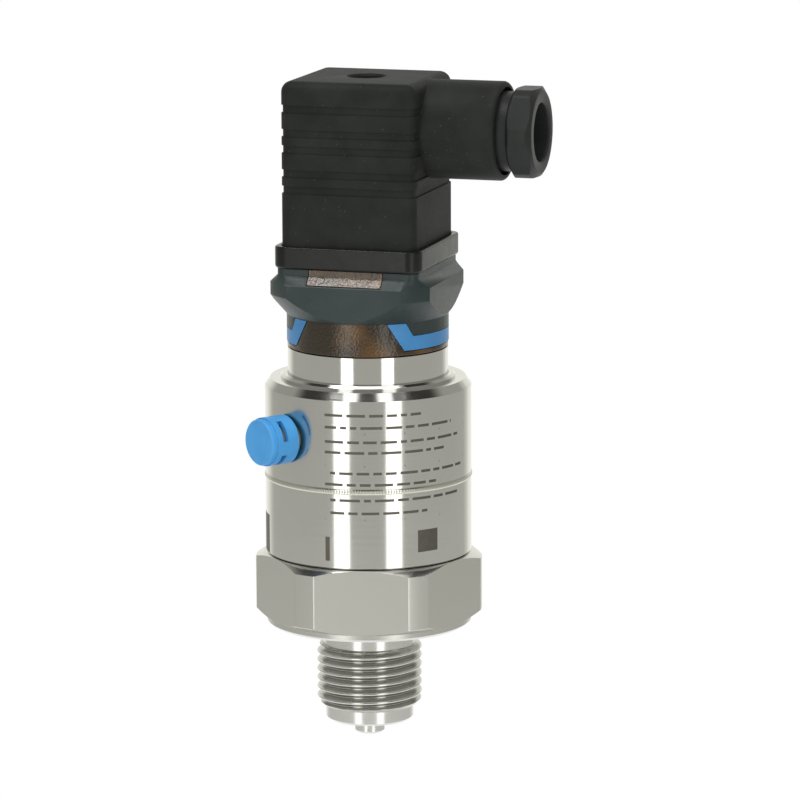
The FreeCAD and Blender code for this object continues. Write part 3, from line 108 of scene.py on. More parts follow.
# Lathe profiles of the process connection, as radii and heights in millimetres: channel, centring pin and
# plain tip, then relief and seal land, and above the hexagon the rim and the pocket for the cell
TIP_PROFILE = ((1.5, -23.0), (2.6, -23.0), (3.0, -22.6), (3.0, -20.0), (8.2475, -20.0), (8.7475, -19.5),
               (8.7475, THREAD_LOW))
LAND_PROFILE = ((RELIEF_RADIUS, 0.4), (10.8275, 0.4), (10.8275, 0.0), (19.85, 0.0), (20.35, 0.5),
                (20.35, HEX_LOW))
POCKET_PROFILE = ((18.4, HEX_HIGH), (18.4, 17.8), (13.1, 17.8), (13.1, 6.0), (12.2, 6.0), (12.2, 4.7),
                  (10.0, 4.7), (10.0, 6.0), (8.5, 6.0), (8.5, 5.1), (1.5, 5.1))

# Finish of the process connection: where the masks begin in millimetres, the tilt of an upright face,
# colours, of which the grooves' darker grey is painted shade
LAND_FOOT = 0.02
GROOVE_SHADE_SPAN = (0.15, 0.4)
UPRIGHT_TILT = 0.3
SATIN = 0.36
SATIN_STEEL = "#B4B4AD"
# Painted shade: a darker grey for the grooves of the thread, standing in for the shade that falls in them
GROOVE_SHADE_STEEL = "#A3A39D"

# Collar, in millimetres
FLAT_HALF = 16.3
PLATFORM_HALF = 14.4
PLATFORM_LEVEL = 71.3

# Nut of the cable gland, in millimetres along X and from its axis: hexagon, and profiles of shank and mouth
NUT_LEVEL = 99.2
NUT_HALF = 8.6
NUT_CORNER = 9.35
NUT_BEVEL_START = 8.0
NUT_BEVEL_ANGLE = 34.0
NUT_HEX_LOW = 30.35
NUT_HEX_HIGH = 35.6
NUT_EDGE = 0.15
SHANK_PROFILE = ((5.7, 23.2), (7.5, 23.2), (7.8, 23.5), (7.8, NUT_HEX_LOW))
MOUTH_PROFILE = ((6.2, NUT_HEX_HIGH), (5.9, 35.48), (5.75, 35.3), (5.7, 35.0))

# Steel housing with its weld seam, in millimetres
HOUSING_RADIUS = 20.45
SEAM_LEVEL = 30.1
SEAM_HALF = 0.55
SEAM_RISE = 0.13
SEAM_ROOT = 0.05
SEAM_ROWS = 11
RIPPLES = 240
RIPPLE_STEPS = 6
RIPPLE_DEPTH = 0.025
RIPPLE_BOW = 2.2

# Marks on the housing: degrees from the side that the camera sees, and millimetres of height
FRONT = VIEW_TURN - 90.0
MARK_LIFT = 0.02
MARK_ROOT = 0.02
MARK_STEPS = 5
MARK_SEED = 5
MARK_START = -24.5
MARK_END = 65.0
MARK_HALF = 0.26
MARK_SPACE = 2.2
MARK_LENGTHS = (3.0, 12.0)
MARK_ROWS = ((45.2, MARK_START, 30.0), (42.8, MARK_START, 52.0), (39.95, MARK_START, 60.0),
             (37.85, MARK_START, 46.0), (33.75, -21.5, 62.0), (31.5, MARK_START, 40.0), (28.4, -21.5, 58.0),
             (25.85, -21.5, 34.0))
MARK_RULES = (41.6, 35.2, 24.6)
RULE_HALF = 0.08
MARK_FIELDS = ((-89.0, -74.0, 14.9, 22.6), (MARK_START, -22.0, 16.2, 21.0), (28.0, 41.0, 17.6, 22.0))

# Meshes: tolerances in millimetres, angles in degrees
MERGE = 0.001
CUT = 0.0001
FOOT_SPARE = 0.01
JOIN_ANGLE = 0.5
SHARP_SURFACE = 32.0
SHARP_EDGE = 28.0


# Finishes

def linear(code):
    """The linear colour of an sRGB hex value."""
    parts = [int(code[i:i + 2], 16) / 255 for i in (1, 3, 5)]
    return tuple(c / 12.92 if c <= 0.04045 else ((c + 0.055) / 1.055) ** 2.4 for c in parts) + (1.0,)


def add(tree, kind, values=None, links=None, **settings):
    """Adds a shader node with its settings, the values of its inputs, and its links."""
    item = tree.nodes.new(kind)
    for name, value in settings.items():
        setattr(item, name, value)
    for name, value in (values or {}).items():
        item.inputs[name].default_value = value
    for name, source in (links or {}).items():
        tree.links.new(source, item.inputs[name])
    return item


def blank_finish(name):
    """An empty material. Returns it, its tree, and the object coordinates that its patterns read."""
    finish = bpy.data.materials.new(name)
    finish.use_nodes = True
    finish.node_tree.nodes.clear()
    return finish, finish.node_tree, add(finish.node_tree, "ShaderNodeTexCoord").outputs["Object"]


def connection_zones(tree, place):
    """Two masks: 1 on the milled flats and the side of the land, and 1 in the grooves of the thread, where
    shade is painted.
    """
    normal = add(tree, "ShaderNodeTexCoord").outputs["Normal"]
    facing = add(tree, "ShaderNodeSeparateXYZ", links={0: normal})
    tilt = add(tree, "ShaderNodeMath", links={0: facing.outputs["Z"]}, operation="ABSOLUTE")
    upright = add(tree, "ShaderNodeMath", {1: UPRIGHT_TILT}, {0: tilt.outputs[0]}, operation="LESS_THAN")
    level = add(tree, "ShaderNodeSeparateXYZ", links={0: place}).outputs["Z"]
    above = add(tree, "ShaderNodeMath", {1: LAND_FOOT * MM}, {0: level}, operation="GREATER_THAN")
    flats = add(tree, "ShaderNodeMath", links={0: upright.outputs[0], 1: above.outputs[0]},
                operation="MULTIPLY")
    across = add(tree, "ShaderNodeVectorMath", {1: (1.0, 1.0, 0.0)}, {0: place}, operation="MULTIPLY")
    reach = add(tree, "ShaderNodeVectorMath", links={0: across.outputs["Vector"]}, operation="LENGTH")
    sunk = add(tree, "ShaderNodeMapRange", {"From Min": (CROWN_RADIUS - GROOVE_SHADE_SPAN[0]) * MM,
                                            "From Max": (CROWN_RADIUS - GROOVE_SHADE_SPAN[1]) * MM},
               {"Value": reach.outputs["Value"]})
    low = add(tree, "ShaderNodeMath", {1: THREAD_LOW * MM}, {0: level}, operation="GREATER_THAN")
    high = add(tree, "ShaderNodeMath", {1: RELIEF_START * MM}, {0: level}, operation="LESS_THAN")
    span = add(tree, "ShaderNodeMath", links={0: low.outputs[0], 1: high.outputs[0]}, operation="MULTIPLY")
    groove_shade = add(tree, "ShaderNodeMath", links={0: sunk.outputs["Result"], 1: span.outputs[0]},
                  operation="MULTIPLY")
    return flats.outputs[0], groove_shade.outputs[0]


def lathe_steel(name, light, dark, roughness, line, depth, drawn, worked=False):
    """Stainless steel cut on a lathe. Tool lines 'line' millimetres apart run round it, so that a lamp's
    reflection keeps sharp sides and draws out along the length, and slow clouds show where the coolant
    dried. On the 'worked' connection the milled flats are satin, so they stay an even grey, and the grooves
    of the thread get painted shade, a darker grey."""
    finish, tree, place = blank_finish(name)
    round_it = add(tree, "ShaderNodeMapping", {"Scale": (16.0, 16.0, 1.0 / (line * MM))}, {"Vector": place})
    lines = add(tree, "ShaderNodeTexNoise", {"Scale": 1.0, "Detail": 2.0},
                {"Vector": round_it.outputs["Vector"]})
    clouds = add(tree, "ShaderNodeTexNoise", {"Scale": 90.0, "Detail": 3.0}, {"Vector": place})
    colour = add(tree, "ShaderNodeMix", {6: linear(dark), 7: linear(light)}, {0: clouds.outputs["Fac"]},
                 data_type="RGBA")
    polish = add(tree, "ShaderNodeMapRange", {"To Min": roughness - 0.04, "To Max": roughness + 0.04},
                 {"Value": lines.outputs["Fac"]})
    rough = polish.outputs["Result"]
    shade = colour.outputs[2]
    if worked:
        flats, groove_shade = connection_zones(tree, place)
        rough = add(tree, "ShaderNodeMix", {"B": SATIN}, {"Factor": flats, "A": rough}).outputs["Result"]
        # Painted shade: the thread's grooves turn a darker grey, standing in for the shade in them
        for mask, code in ((flats, SATIN_STEEL), (groove_shade, GROOVE_SHADE_STEEL)):
            shade = add(tree, "ShaderNodeMix", {7: linear(code)}, {0: mask, 6: shade},
                        data_type="RGBA").outputs[2]
    relief = add(tree, "ShaderNodeBump", {"Distance": depth * MM}, {"Height": lines.outputs["Fac"]})
    around = add(tree, "ShaderNodeTangent", direction_type="RADIAL", axis="Z")
    shader = add(tree, "ShaderNodeBsdfPrincipled",
                 {"Metallic": 1.0, "Anisotropic": drawn, "Anisotropic Rotation": 0.25},
                 {"Base Color": shade, "Roughness": rough, "Normal": relief.outputs["Normal"],
                  "Tangent": around.outputs["Tangent"]})
    add(tree, "ShaderNodeOutputMaterial", links={"Surface": shader.outputs["BSDF"]})
    return finish


def moulded(name, light, dark, roughness, dimple, depth, shine, specks=0.0):
    """Moulded plastic or rubber. Dimples 'dimple' millimetres wide from the spark-eroded mould break up the
    shine, slow clouds show where the melt ran, and a few pale specks are mixed into the colour."""
    finish, tree, place = blank_finish(name)
    skin = add(tree, "ShaderNodeTexNoise", {"Scale": 1.0 / (dimple * MM), "Detail": 2.0}, {"Vector": place})
    clouds = add(tree, "ShaderNodeTexNoise", {"Scale": 140.0, "Detail": 3.0}, {"Vector": place})
    spread = add(tree, "ShaderNodeMapRange", {"From Min": 0.35, "From Max": 0.65},
                 {"Value": clouds.outputs["Fac"]})
    colour = add(tree, "ShaderNodeMix", {6: linear(dark), 7: linear(light)}, {0: spread.outputs["Result"]},
                 data_type="RGBA")
    speck_cells = add(tree, "ShaderNodeTexVoronoi", {"Scale": 700.0}, {"Vector": place})
    spot = add(tree, "ShaderNodeMapRange",
               {"From Min": 0.05, "From Max": 0.1, "To Min": specks, "To Max": 0.0},
               {"Value": speck_cells.outputs["Distance"]})
    specked = add(tree, "ShaderNodeMix", {7: linear("#8E918C")},
                 {0: spot.outputs["Result"], 6: colour.outputs[2]}, data_type="RGBA")
    polish = add(tree, "ShaderNodeMapRange", {"To Min": roughness - 0.08, "To Max": roughness + 0.08},
                 {"Value": skin.outputs["Fac"]})
    relief = add(tree, "ShaderNodeBump", {"Distance": depth * MM}, {"Height": skin.outputs["Fac"]})
    shader = add(tree, "ShaderNodeBsdfPrincipled", {"IOR": 1.53, "Specular IOR Level": shine},
                 {"Base Color": specked.outputs[2], "Roughness": polish.outputs["Result"],
                  "Normal": relief.outputs["Normal"]})
    add(tree, "ShaderNodeOutputMaterial", links={"Surface": shader.outputs["BSDF"]})
    return finish


def small_metal(name, light, dark, roughness):
    """Metal of the small pieces, turned, stamped, plated or burnt, with a faint mottling."""
    finish, tree, place = blank_finish(name)
    mottle = add(tree, "ShaderNodeTexNoise", {"Scale": 1200.0, "Detail": 3.0}, {"Vector": place})
    colour = add(tree, "ShaderNodeMix", {6: linear(dark), 7: linear(light)}, {0: mottle.outputs["Fac"]},
                 data_type="RGBA")
    polish = add(tree, "ShaderNodeMapRange", {"To Min": roughness - 0.05, "To Max": roughness + 0.08},
                 {"Value": mottle.outputs["Fac"]})
    relief = add(tree, "ShaderNodeBump", {"Distance": 0.008 * MM}, {"Height": mottle.outputs["Fac"]})
    shader = add(tree, "ShaderNodeBsdfPrincipled", {"Metallic": 1.0},
                 {"Base Color": colour.outputs[2], "Roughness": polish.outputs["Result"],
                  "Normal": relief.outputs["Normal"]})
    add(tree, "ShaderNodeOutputMaterial", links={"Surface": shader.outputs["BSDF"]})
    return finish


def pebbled_amber(name, light, dark, roughness, pebble, depth, shine):
    """Polyetherimide, a clear amber plastic, from a coarsely eroded mould. Over the dark inside it looks
    smoky brown with warm patches, and pebbles 'pebble' millimetres wide sparkle where light strikes them."""
    finish, tree, place = blank_finish(name)
    pebbles = add(tree, "ShaderNodeTexNoise", {"Scale": 1.0 / (pebble * MM), "Detail": 2.0},
                  {"Vector": place})
    depths = add(tree, "ShaderNodeTexNoise", {"Scale": 160.0, "Detail": 1.0}, {"Vector": place})
    spread = add(tree, "ShaderNodeMapRange", {"From Min": 0.45, "From Max": 0.75},
                 {"Value": depths.outputs["Fac"]})
    colour = add(tree, "ShaderNodeMix", {6: linear(dark), 7: linear(light)}, {0: spread.outputs["Result"]},
                 data_type="RGBA")
    relief = add(tree, "ShaderNodeBump", {"Distance": depth * MM}, {"Height": pebbles.outputs["Fac"]})
    shader = add(tree, "ShaderNodeBsdfPrincipled",
                 {"IOR": 1.66, "Roughness": roughness, "Specular IOR Level": shine},
                 {"Base Color": colour.outputs[2], "Normal": relief.outputs["Normal"]})
    add(tree, "ShaderNodeOutputMaterial", links={"Surface": shader.outputs["BSDF"]})
    return finish


# Steels: lighter and darker colour, roughness, width and depth of the tool lines, and how far they draw light

# Turned and milled from bar: satin flats of an even grey, a thread whose crests mirror the strips, and
# painted shade in the thread's grooves
connection_steel = lathe_steel("stainless_steel_turned_and_milled", "#C8C8C4", "#BCBCB8", 0.23, 0.3, 0.003,
                               0.5, worked=True)
# Tube turned in one fine pass: even grey between sharp bright strips
housing_steel = lathe_steel("stainless_steel_finely_turned", "#C6C6C1", "#BBBBB6", 0.15, 0.25, 0.004, 0.6)
# Ground and polished: mirrors the strips almost white
neck_steel = lathe_steel("stainless_steel_polished", "#C8C8C3", "#C0C0BB", 0.1, 0.25, 0.001, 0.5)
# Bead of the welding laser: straw coloured, with small broken lights
seam_steel = lathe_steel("stainless_steel_laser_welded", "#B5B2A2", "#A5A191", 0.3, 0.5, 0.004, 0.0)
# Steel oxidised under the marking laser: matt, brown-grey
mark_oxide = small_metal("stainless_steel_laser_annealed", "#66635B", "#57544D", 0.5)

# Plastics and rubbers: lighter and darker colour, roughness, width and depth of the dimples, shine, specks

# Glass-filled polyamide: matt black with a green cast and pale specks
plug_polyamide = moulded("glass_filled_polyamide_eroded_mould", "#262826", "#1D1F1D", 0.6, 0.5, 0.02, 0.12,
                         0.16)
# Unfilled polyamide of the nut: smoother, so its flats show soft reflections
nut_polyamide = moulded("polyamide_smooth_mould", "#272927", "#202221", 0.45, 0.4, 0.01, 0.16)
# Nitrile rubber: glossy black with long soft reflections
gasket_nitrile = moulded("nitrile_rubber_smooth_mould", "#181917", "#121311", 0.28, 2.5, 0.004, 0.2)
# Glass-filled polyester: satin blue-grey with a fine orange peel
collar_polyester = moulded("glass_filled_polyester_eroded_mould", "#2D3836", "#242F2F", 0.4, 0.5, 0.02, 0.25)
# Polyester pigmented blue: satin, so that the colour outweighs the shine
trim_polyester = moulded("blue_polyester_satin_mould", "#3F86BD", "#387DB4", 0.42, 0.5, 0.008, 0.4)
# Polyamide pigmented a lighter blue, for the breathing cap: satin, with a soft light on its round edge
cap_polyamide = moulded("blue_polyamide_satin_mould", "#4A9CD8", "#4092D0", 0.45, 0.5, 0.008, 0.35)
# Silicone of the seal behind the cap: pale beige and soft looking
vent_silicone = moulded("beige_silicone_moulded", "#CFC79B", "#C2B98C", 0.5, 0.5, 0.008, 0.4)
# Black rubber of the inner seals and the gland's bush: near black with a broad dull shine
inner_rubber = moulded("black_rubber_moulded", "#202020", "#181818", 0.5, 0.5, 0.01, 0.4)
# Grey polyester of the board carrier: light grey and even, so that the boards stand out from it
grey_polyester = moulded("grey_polyester_moulded", "#C9C9C2", "#BDBDB6", 0.5, 0.5, 0.01, 0.5)
# Black polyester of chips, terminal block and thrust washer: dark grey, finely dimpled
black_polyester = moulded("black_polyester_moulded", "#2A2A2A", "#202020", 0.5, 0.5, 0.015, 0.4)
# Cream polyester of the vent's body: pale and satin
cream_polyester = moulded("cream_polyester_moulded", "#C9C49A", "#BDB88C", 0.5, 0.5, 0.01, 0.5)
# Alumina of the measuring cell, fired and ground: warm white with a chalky sheen
ceramic = moulded("alumina_ceramic_ground", "#F0EDE4", "#E6E2D8", 0.45, 0.3, 0.006, 0.6)
# Glass epoxy under green lacquer: smooth, with a wet shine
board_laminate = moulded("glass_epoxy_board_lacquered", "#1E6B3C", "#175A31", 0.3, 0.6, 0.006, 0.5)
# Polyimide film of the flexible lead: orange brown and glossy
polyimide_film = moulded("polyimide_film_rolled", "#B5761F", "#A2661A", 0.25, 0.6, 0.004, 0.5)
# Stretched film that lets air through: milky white without shine
porous_film = moulded("porous_film_stretched", "#EEEEEA", "#E4E4DF", 0.7, 0.3, 0.01, 0.3)

# Small metals: lighter and darker colour, roughness

# Turned brass of the thread insert: yellow with small bright lights
brass = small_metal("brass_turned", "#D9B765", "#C9A552", 0.25)
# Braze that joins the cell's halves: dull warm silver
braze = small_metal("braze_alloy_cast", "#C4BEB4", "#B2ABA0", 0.35)
# Tin on the brass contacts: pale warm silver
tinned_brass = small_metal("brass_tin_plated", "#D6D5D0", "#C8C6C0", 0.25)
# Zinc on the screws and the cell's washer: cool grey silver
plated_steel = small_metal("steel_zinc_plated", "#B9BBBC", "#A8AAAC", 0.28)

# Amber of the contact carrier, as its function says
amber = pebbled_amber("amber_polyetherimide_pebbled_mould", "#5E411A", "#281F0E", 0.13, 0.45, 0.09, 0.33)

FINISHES = {
    "steel_turned": connection_steel, "steel_housing": housing_steel, "steel_neck": neck_steel,
    "washer_steel": plated_steel, "screw_steel": plated_steel, "braze_alloy": braze, "brass": brass,
    "contact_metal": tinned_brass, "white_ceramic": ceramic, "black_rubber": inner_rubber,
    "gasket_rubber": gasket_nitrile, "vent_rubber": vent_silicone, "board_plastic": grey_polyester,
    "circuit_board": board_laminate, "chip_plastic": black_polyester, "flex_film": polyimide_film,
    "amber_plastic": amber, "collar_plastic": collar_polyester, "trim_plastic": trim_polyester,
    "cap_plastic": cap_polyamide, "vent_plastic": cream_polyester, "membrane_film": porous_film,
    "plug_plastic": plug_polyamide, "nut_plastic": nut_polyamide, "terminal_plastic": black_polyester,
    "washer_plastic": black_polyester,
}

for subpart in frame["record"]["subparts"]:
    for material_slot in frame["nodes"][subpart["node"]].material_slots:
        material_slot.material = FINISHES[subpart["material_slot"]]


# Surfaces

def placed(name, data):
    """Puts an object with this data in the scene."""
    item = bpy.data.objects.new(name, data)
    bpy.context.scene.collection.objects.link(item)
    return item


def smoothed(mesh, limit, finish):
    """Shades a mesh smooth, but for edges sharper than 'limit' degrees, and gives it its one finish."""
    mesh.polygons.foreach_set("use_smooth", np.ones(len(mesh.polygons), dtype=bool))
    mesh.set_sharp_from_angle(angle=math.radians(limit))
    mesh.materials.clear()
    mesh.materials.append(finish)


def surface(name, x, y, z, finish):
    """A closed mesh from grids of millimetres, rows by columns. The last row meets the first, and so does the
    last column. Each face and the origin span a volume, and where their sum is below zero the faces turn
    round, so that they look outwards."""
    rows, columns = x.shape
    points = np.stack([x, y, z], axis=-1).reshape(-1, 3) * MM
    i = np.arange(rows)[:, None]
    j = np.arange(columns)[None, :]
    after_i = (i + 1) % rows
    after_j = (j + 1) % columns
    quads = np.stack([i * columns + j, i * columns + after_j, after_i * columns + after_j,
                      after_i * columns + j], axis=-1).reshape(-1, 4)
    a, b, c, d = (points[quads[:, k]] for k in range(4))
    volume = np.einsum("ij,ij->i", a, np.cross(b, c)).sum() + np.einsum("ij,ij->i", a, np.cross(c, d)).sum()
    if volume < 0:
        quads = quads[:, ::-1]
    mesh = bpy.data.meshes.new(name)
    mesh.from_pydata(points.tolist(), [], quads.tolist())
    mesh.validate()
    smoothed(mesh, SHARP_SURFACE, finish)
    return placed(name, mesh)


def profile_rows(profile, angle):
    """A row for each radius and height of a lathe profile, the same at every angle."""
    return [(np.full_like(angle, radius), np.full_like(angle, height)) for radius, height in profile]


def hexagon_rows(angle, half, corner, start, slope, low, high):
    """Four rows of radius and height that make a hexagon: its flats stand 'half' from the axis, its corners
    are turned off at 'corner', and bevels at 'slope' degrees begin at radius 'start' on both faces."""
    away = np.mod(angle + math.pi / 6, math.pi / 3) - math.pi / 6
    flat = np.minimum(half / np.cos(away), corner)
    drop = np.maximum(flat - start, 0.0) * math.tan(math.radians(slope))
    face = np.minimum(flat, start)
    return [(face, np.full_like(flat, low)), (flat, low + drop), (flat, high - drop),
            (face, np.full_like(flat, high))]


def thread_rows(angle):
    """Rows of a right-hand helix with round crests, straight 55 degree flanks and round roots. A lead-in
    bevel cuts it at its lower end, and at its upper end it runs out into the relief."""
    rows = []
    count = int((RELIEF_START - THREAD_LOW) / PITCH * ROWS_PER_PITCH)
    for height in np.linspace(THREAD_LOW, RELIEF_START, count):
        phase = np.mod(height / PITCH - angle / (2 * np.pi), 1.0)
        aside = PITCH * np.minimum(phase, 1 - phase)
        near = np.minimum(aside, PITCH / 2 - aside)
        curve = CREST_ROUND - np.sqrt(CREST_ROUND ** 2 - np.minimum(near, FLANK_START) ** 2)
        drop = curve + FLANK_SLOPE * np.maximum(near - FLANK_START, 0.0)
        radius = CROWN_RADIUS - np.where(aside < PITCH / 4, drop, THREAD_DEPTH - drop)
        lead_in = CROWN_RADIUS - THREAD_BEVEL + (height - THREAD_LOW)
        run_out = RELIEF_RADIUS + (RELIEF_START - height) * RUN_OUT_SLOPE
        rows.append((np.minimum(radius, np.minimum(lead_in, run_out)), np.full_like(angle, height)))
    return rows


def process_connection():
    """The stub as one lathe profile turned about Z, with a thread and a hexagon whose radii depend on the
    angle. The angles are whole degrees and the ends of the hexagon's flats."""
    flat_end = math.degrees(math.acos(HEX_HALF / HEX_CORNER))
    corners = [(HEX_TURN + 60 * flat + side * flat_end) % 360 for flat in range(6) for side in (-1, 1)]
    angle = np.radians(np.union1d(np.arange(0, 360, 1.0), corners))
    rows = profile_rows(TIP_PROFILE, angle) + thread_rows(angle) + profile_rows(LAND_PROFILE, angle)
    rows += hexagon_rows(angle - math.radians(HEX_TURN), HEX_HALF, HEX_CORNER, BEVEL_START, BEVEL_ANGLE,
                         HEX_LOW, HEX_HIGH)
    rows += profile_rows(POCKET_PROFILE, angle)
    radii, heights = (np.array(part) for part in zip(*rows))
    piece = surface("threaded_connection", radii * np.cos(angle), radii * np.sin(angle), heights,
                    connection_steel)
    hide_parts("process_connection")
    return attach(piece, "instrument")


def rounded(piece, width):
    """Rounds the edges of a piece with a bevel 'width' millimetres wide."""
    bevel = piece.modifiers.new("worn_edges", "BEVEL")
    bevel.width = width * MM
    bevel.segments = 3
    bevel.limit_method = "ANGLE"
    bevel.angle_limit = math.radians(SHARP_EDGE)
    bevel.harden_normals = True


def cut_front_and_back(shape):
    """Cuts the collar and its tabs with flats in front and behind, and with slopes that rise from the flats
    to the platform. Faces above the platform's foot stay whole, and each opening is closed with one face."""
    bmesh.ops.bisect_plane(shape, geom=shape.verts[:] + shape.edges[:] + shape.faces[:], dist=CUT * MM,
                           plane_co=(0, 0, PLATFORM_LEVEL * MM), plane_no=(0, 0, 1))
    foot = (PLATFORM_LEVEL + FOOT_SPARE) * MM
    for side in (-1, 1):
        for reach, normal in ((FLAT_HALF, (0, side, 0)), (PLATFORM_HALF, (0, side, 1))):
            faces = [f for f in shape.faces
                     if max(v.co.z for v in f.verts) < foot and f.calc_center_median().y * side > 0]
            parts = list(dict.fromkeys(part for f in faces for part in (*f.edges, *f.verts)))
            bmesh.ops.bisect_plane(shape, geom=parts + faces, dist=CUT * MM, clear_outer=True,
                                   plane_co=(0, side * reach * MM, PLATFORM_LEVEL * MM), plane_no=normal)
            bmesh.ops.holes_fill(shape, edges=[e for e in shape.edges if e.is_boundary], sides=0)
    bmesh.ops.recalc_face_normals(shape, faces=shape.faces)


def softened(node, name, slot, body, width, cut=None):
    """A copy of a moulded or turned node with its facets joined into flats, its edges rounded by 'width', and
    before that cut where the node needs it."""
    shape = bmesh.new()
    shape.from_mesh(frame["nodes"][node].data)
    bmesh.ops.remove_doubles(shape, verts=shape.verts, dist=MERGE * MM)
    if cut:
        cut(shape)
    bmesh.ops.dissolve_limit(shape, angle_limit=math.radians(JOIN_ANGLE), verts=shape.verts,
                             edges=shape.edges)
    mesh = bpy.data.meshes.new(name)
    shape.to_mesh(mesh)
    shape.free()
    smoothed(mesh, SHARP_EDGE, FINISHES[slot])
    piece = placed(name, mesh)
    rounded(piece, width)
    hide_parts(node)
    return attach(piece, body)


def cable_nut():
    """The gland's nut as a lathe profile about its own axis along X: shank, hexagon, flat end and a bore with
    a rounded mouth. Two of its flats face up and down."""
    angle = np.radians(np.arange(0, 360, 2.0))
    rows = profile_rows(SHANK_PROFILE, angle)
    rows += hexagon_rows(angle, NUT_HALF, NUT_CORNER, NUT_BEVEL_START, NUT_BEVEL_ANGLE, NUT_HEX_LOW,
                         NUT_HEX_HIGH)
    rows += profile_rows(MOUTH_PROFILE, angle)
    radii, along = (np.array(part) for part in zip(*rows))
    piece = surface("cable_nut", along, radii * np.sin(angle), NUT_LEVEL + radii * np.cos(angle),
                    nut_polyamide)
    rounded(piece, NUT_EDGE)
    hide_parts("gland_nut")
    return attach(piece, "nut")


def weld_seam():
    """The laser's bead as a ring about Z: a low arch over the joint, with ripples that bow back at its edges,
    and a root just under the steel."""
    angle = np.linspace(0, 2 * np.pi, RIPPLES * RIPPLE_STEPS, endpoint=False)[None, :]
    across = np.linspace(-1, 1, SEAM_ROWS)[:, None]
    ripple = np.cos(RIPPLES * angle + RIPPLE_BOW * across ** 2) * (1 - across ** 2)
    radius = HOUSING_RADIUS + SEAM_RISE * (1 - across ** 2) + RIPPLE_DEPTH * ripple
    height = SEAM_LEVEL + across * SEAM_HALF + 0 * angle
    root = np.full_like(radius[:1], HOUSING_RADIUS - SEAM_ROOT)
    radius = np.concatenate([root, radius, root])
    height = np.concatenate([height[:1], height, height[-1:]])
    piece = surface("weld_seam", radius * np.cos(angle), radius * np.sin(angle), height, seam_steel)
    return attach(piece, "instrument")


def mark_bars():
    """Start, end, lower and upper height of each mark: rows of bars of random lengths, rules and fields."""
    bars = []
    draw = np.random.default_rng(MARK_SEED)
    for height, start, end in MARK_ROWS:
        here = start
        while here < end:
            length = draw.uniform(*MARK_LENGTHS)
            bars.append((here, min(here + length, end), height - MARK_HALF, height + MARK_HALF))
            here += length + MARK_SPACE
    for height in MARK_RULES:
        bars.append((MARK_START, MARK_END, height - RULE_HALF, height + RULE_HALF))
    return np.array(bars + list(MARK_FIELDS))


def laser_marks():
    """Plain bars and rules burnt on the housing. Each is a strip of a cylinder just proud of the steel: steps
    from its start to its end, with four corners at each, and its ends closed."""
    bars = mark_bars()
    corners = 4
    share = np.linspace(0, 1, MARK_STEPS)[None, :]
    turn = np.radians(FRONT + bars[:, :1] + (bars[:, 1:2] - bars[:, :1]) * share)[:, :, None]
    radius = np.array([-MARK_ROOT, MARK_LIFT, MARK_LIFT, -MARK_ROOT]) + HOUSING_RADIUS
    x = np.cos(turn) * radius
    y = np.sin(turn) * radius
    z = np.broadcast_to(bars[:, None, [2, 2, 3, 3]], x.shape)
    points = np.stack([x, y, z], axis=-1).reshape(-1, 3) * MM
    first = np.arange(len(bars))[:, None, None] * MARK_STEPS * corners
    step = first + np.arange(MARK_STEPS - 1)[None, :, None] * corners
    corner = np.arange(corners)
    after = (corner + 1) % corners
    sides = np.stack([step + corner, step + corners + corner, step + corners + after, step + after], axis=-1)
    last = first[:, :, 0] + (MARK_STEPS - 1) * corners
    faces = np.concatenate([sides.reshape(-1, corners), first[:, :, 0] + corner, last + corner[::-1]])
    mesh = bpy.data.meshes.new("laser_marks")
    mesh.from_pydata(points.tolist(), [], faces.tolist())
    mesh.materials.append(mark_oxide)
    piece = placed("laser_marks", mesh)
    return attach(piece, "instrument")


process_connection()
weld_seam()
laser_marks()
softened("plug_housing", "plug_shell", "plug_plastic", "plug", 0.12)
softened("plug_gasket", "plug_seal", "gasket_rubber", "instrument", 0.35)
cable_nut()
softened("collar", "collar_moulding", "collar_plastic", "instrument", 0.3, cut_front_and_back)
softened("contact_carrier", "amber_carrier", "amber_plastic", "instrument", 0.1, cut_front_and_back)
softened("vent_cap", "breather_cap", "cap_plastic", "instrument", 0.12)


# Studio

def lamp(name, turn, rise, distance, wide, tall, glow, aim):
    """A soft box at an angle from the camera's side and a height, looking at a height on the object's axis.
    A glow of 1 is white."""
    data = bpy.data.lights.new(name, "AREA")
    data.shape = "RECTANGLE"
    data.size = wide
    data.size_y = tall
    data.energy = glow * math.pi * wide * tall
    side = math.radians(VIEW_TURN + turn)
    item = placed(name, data)
    item.location = (math.sin(side) * distance, -math.cos(side) * distance, rise)
    item.rotation_euler = (Vector((0, 0, aim)) - item.location).to_track_quat("-Z", "Y").to_euler()


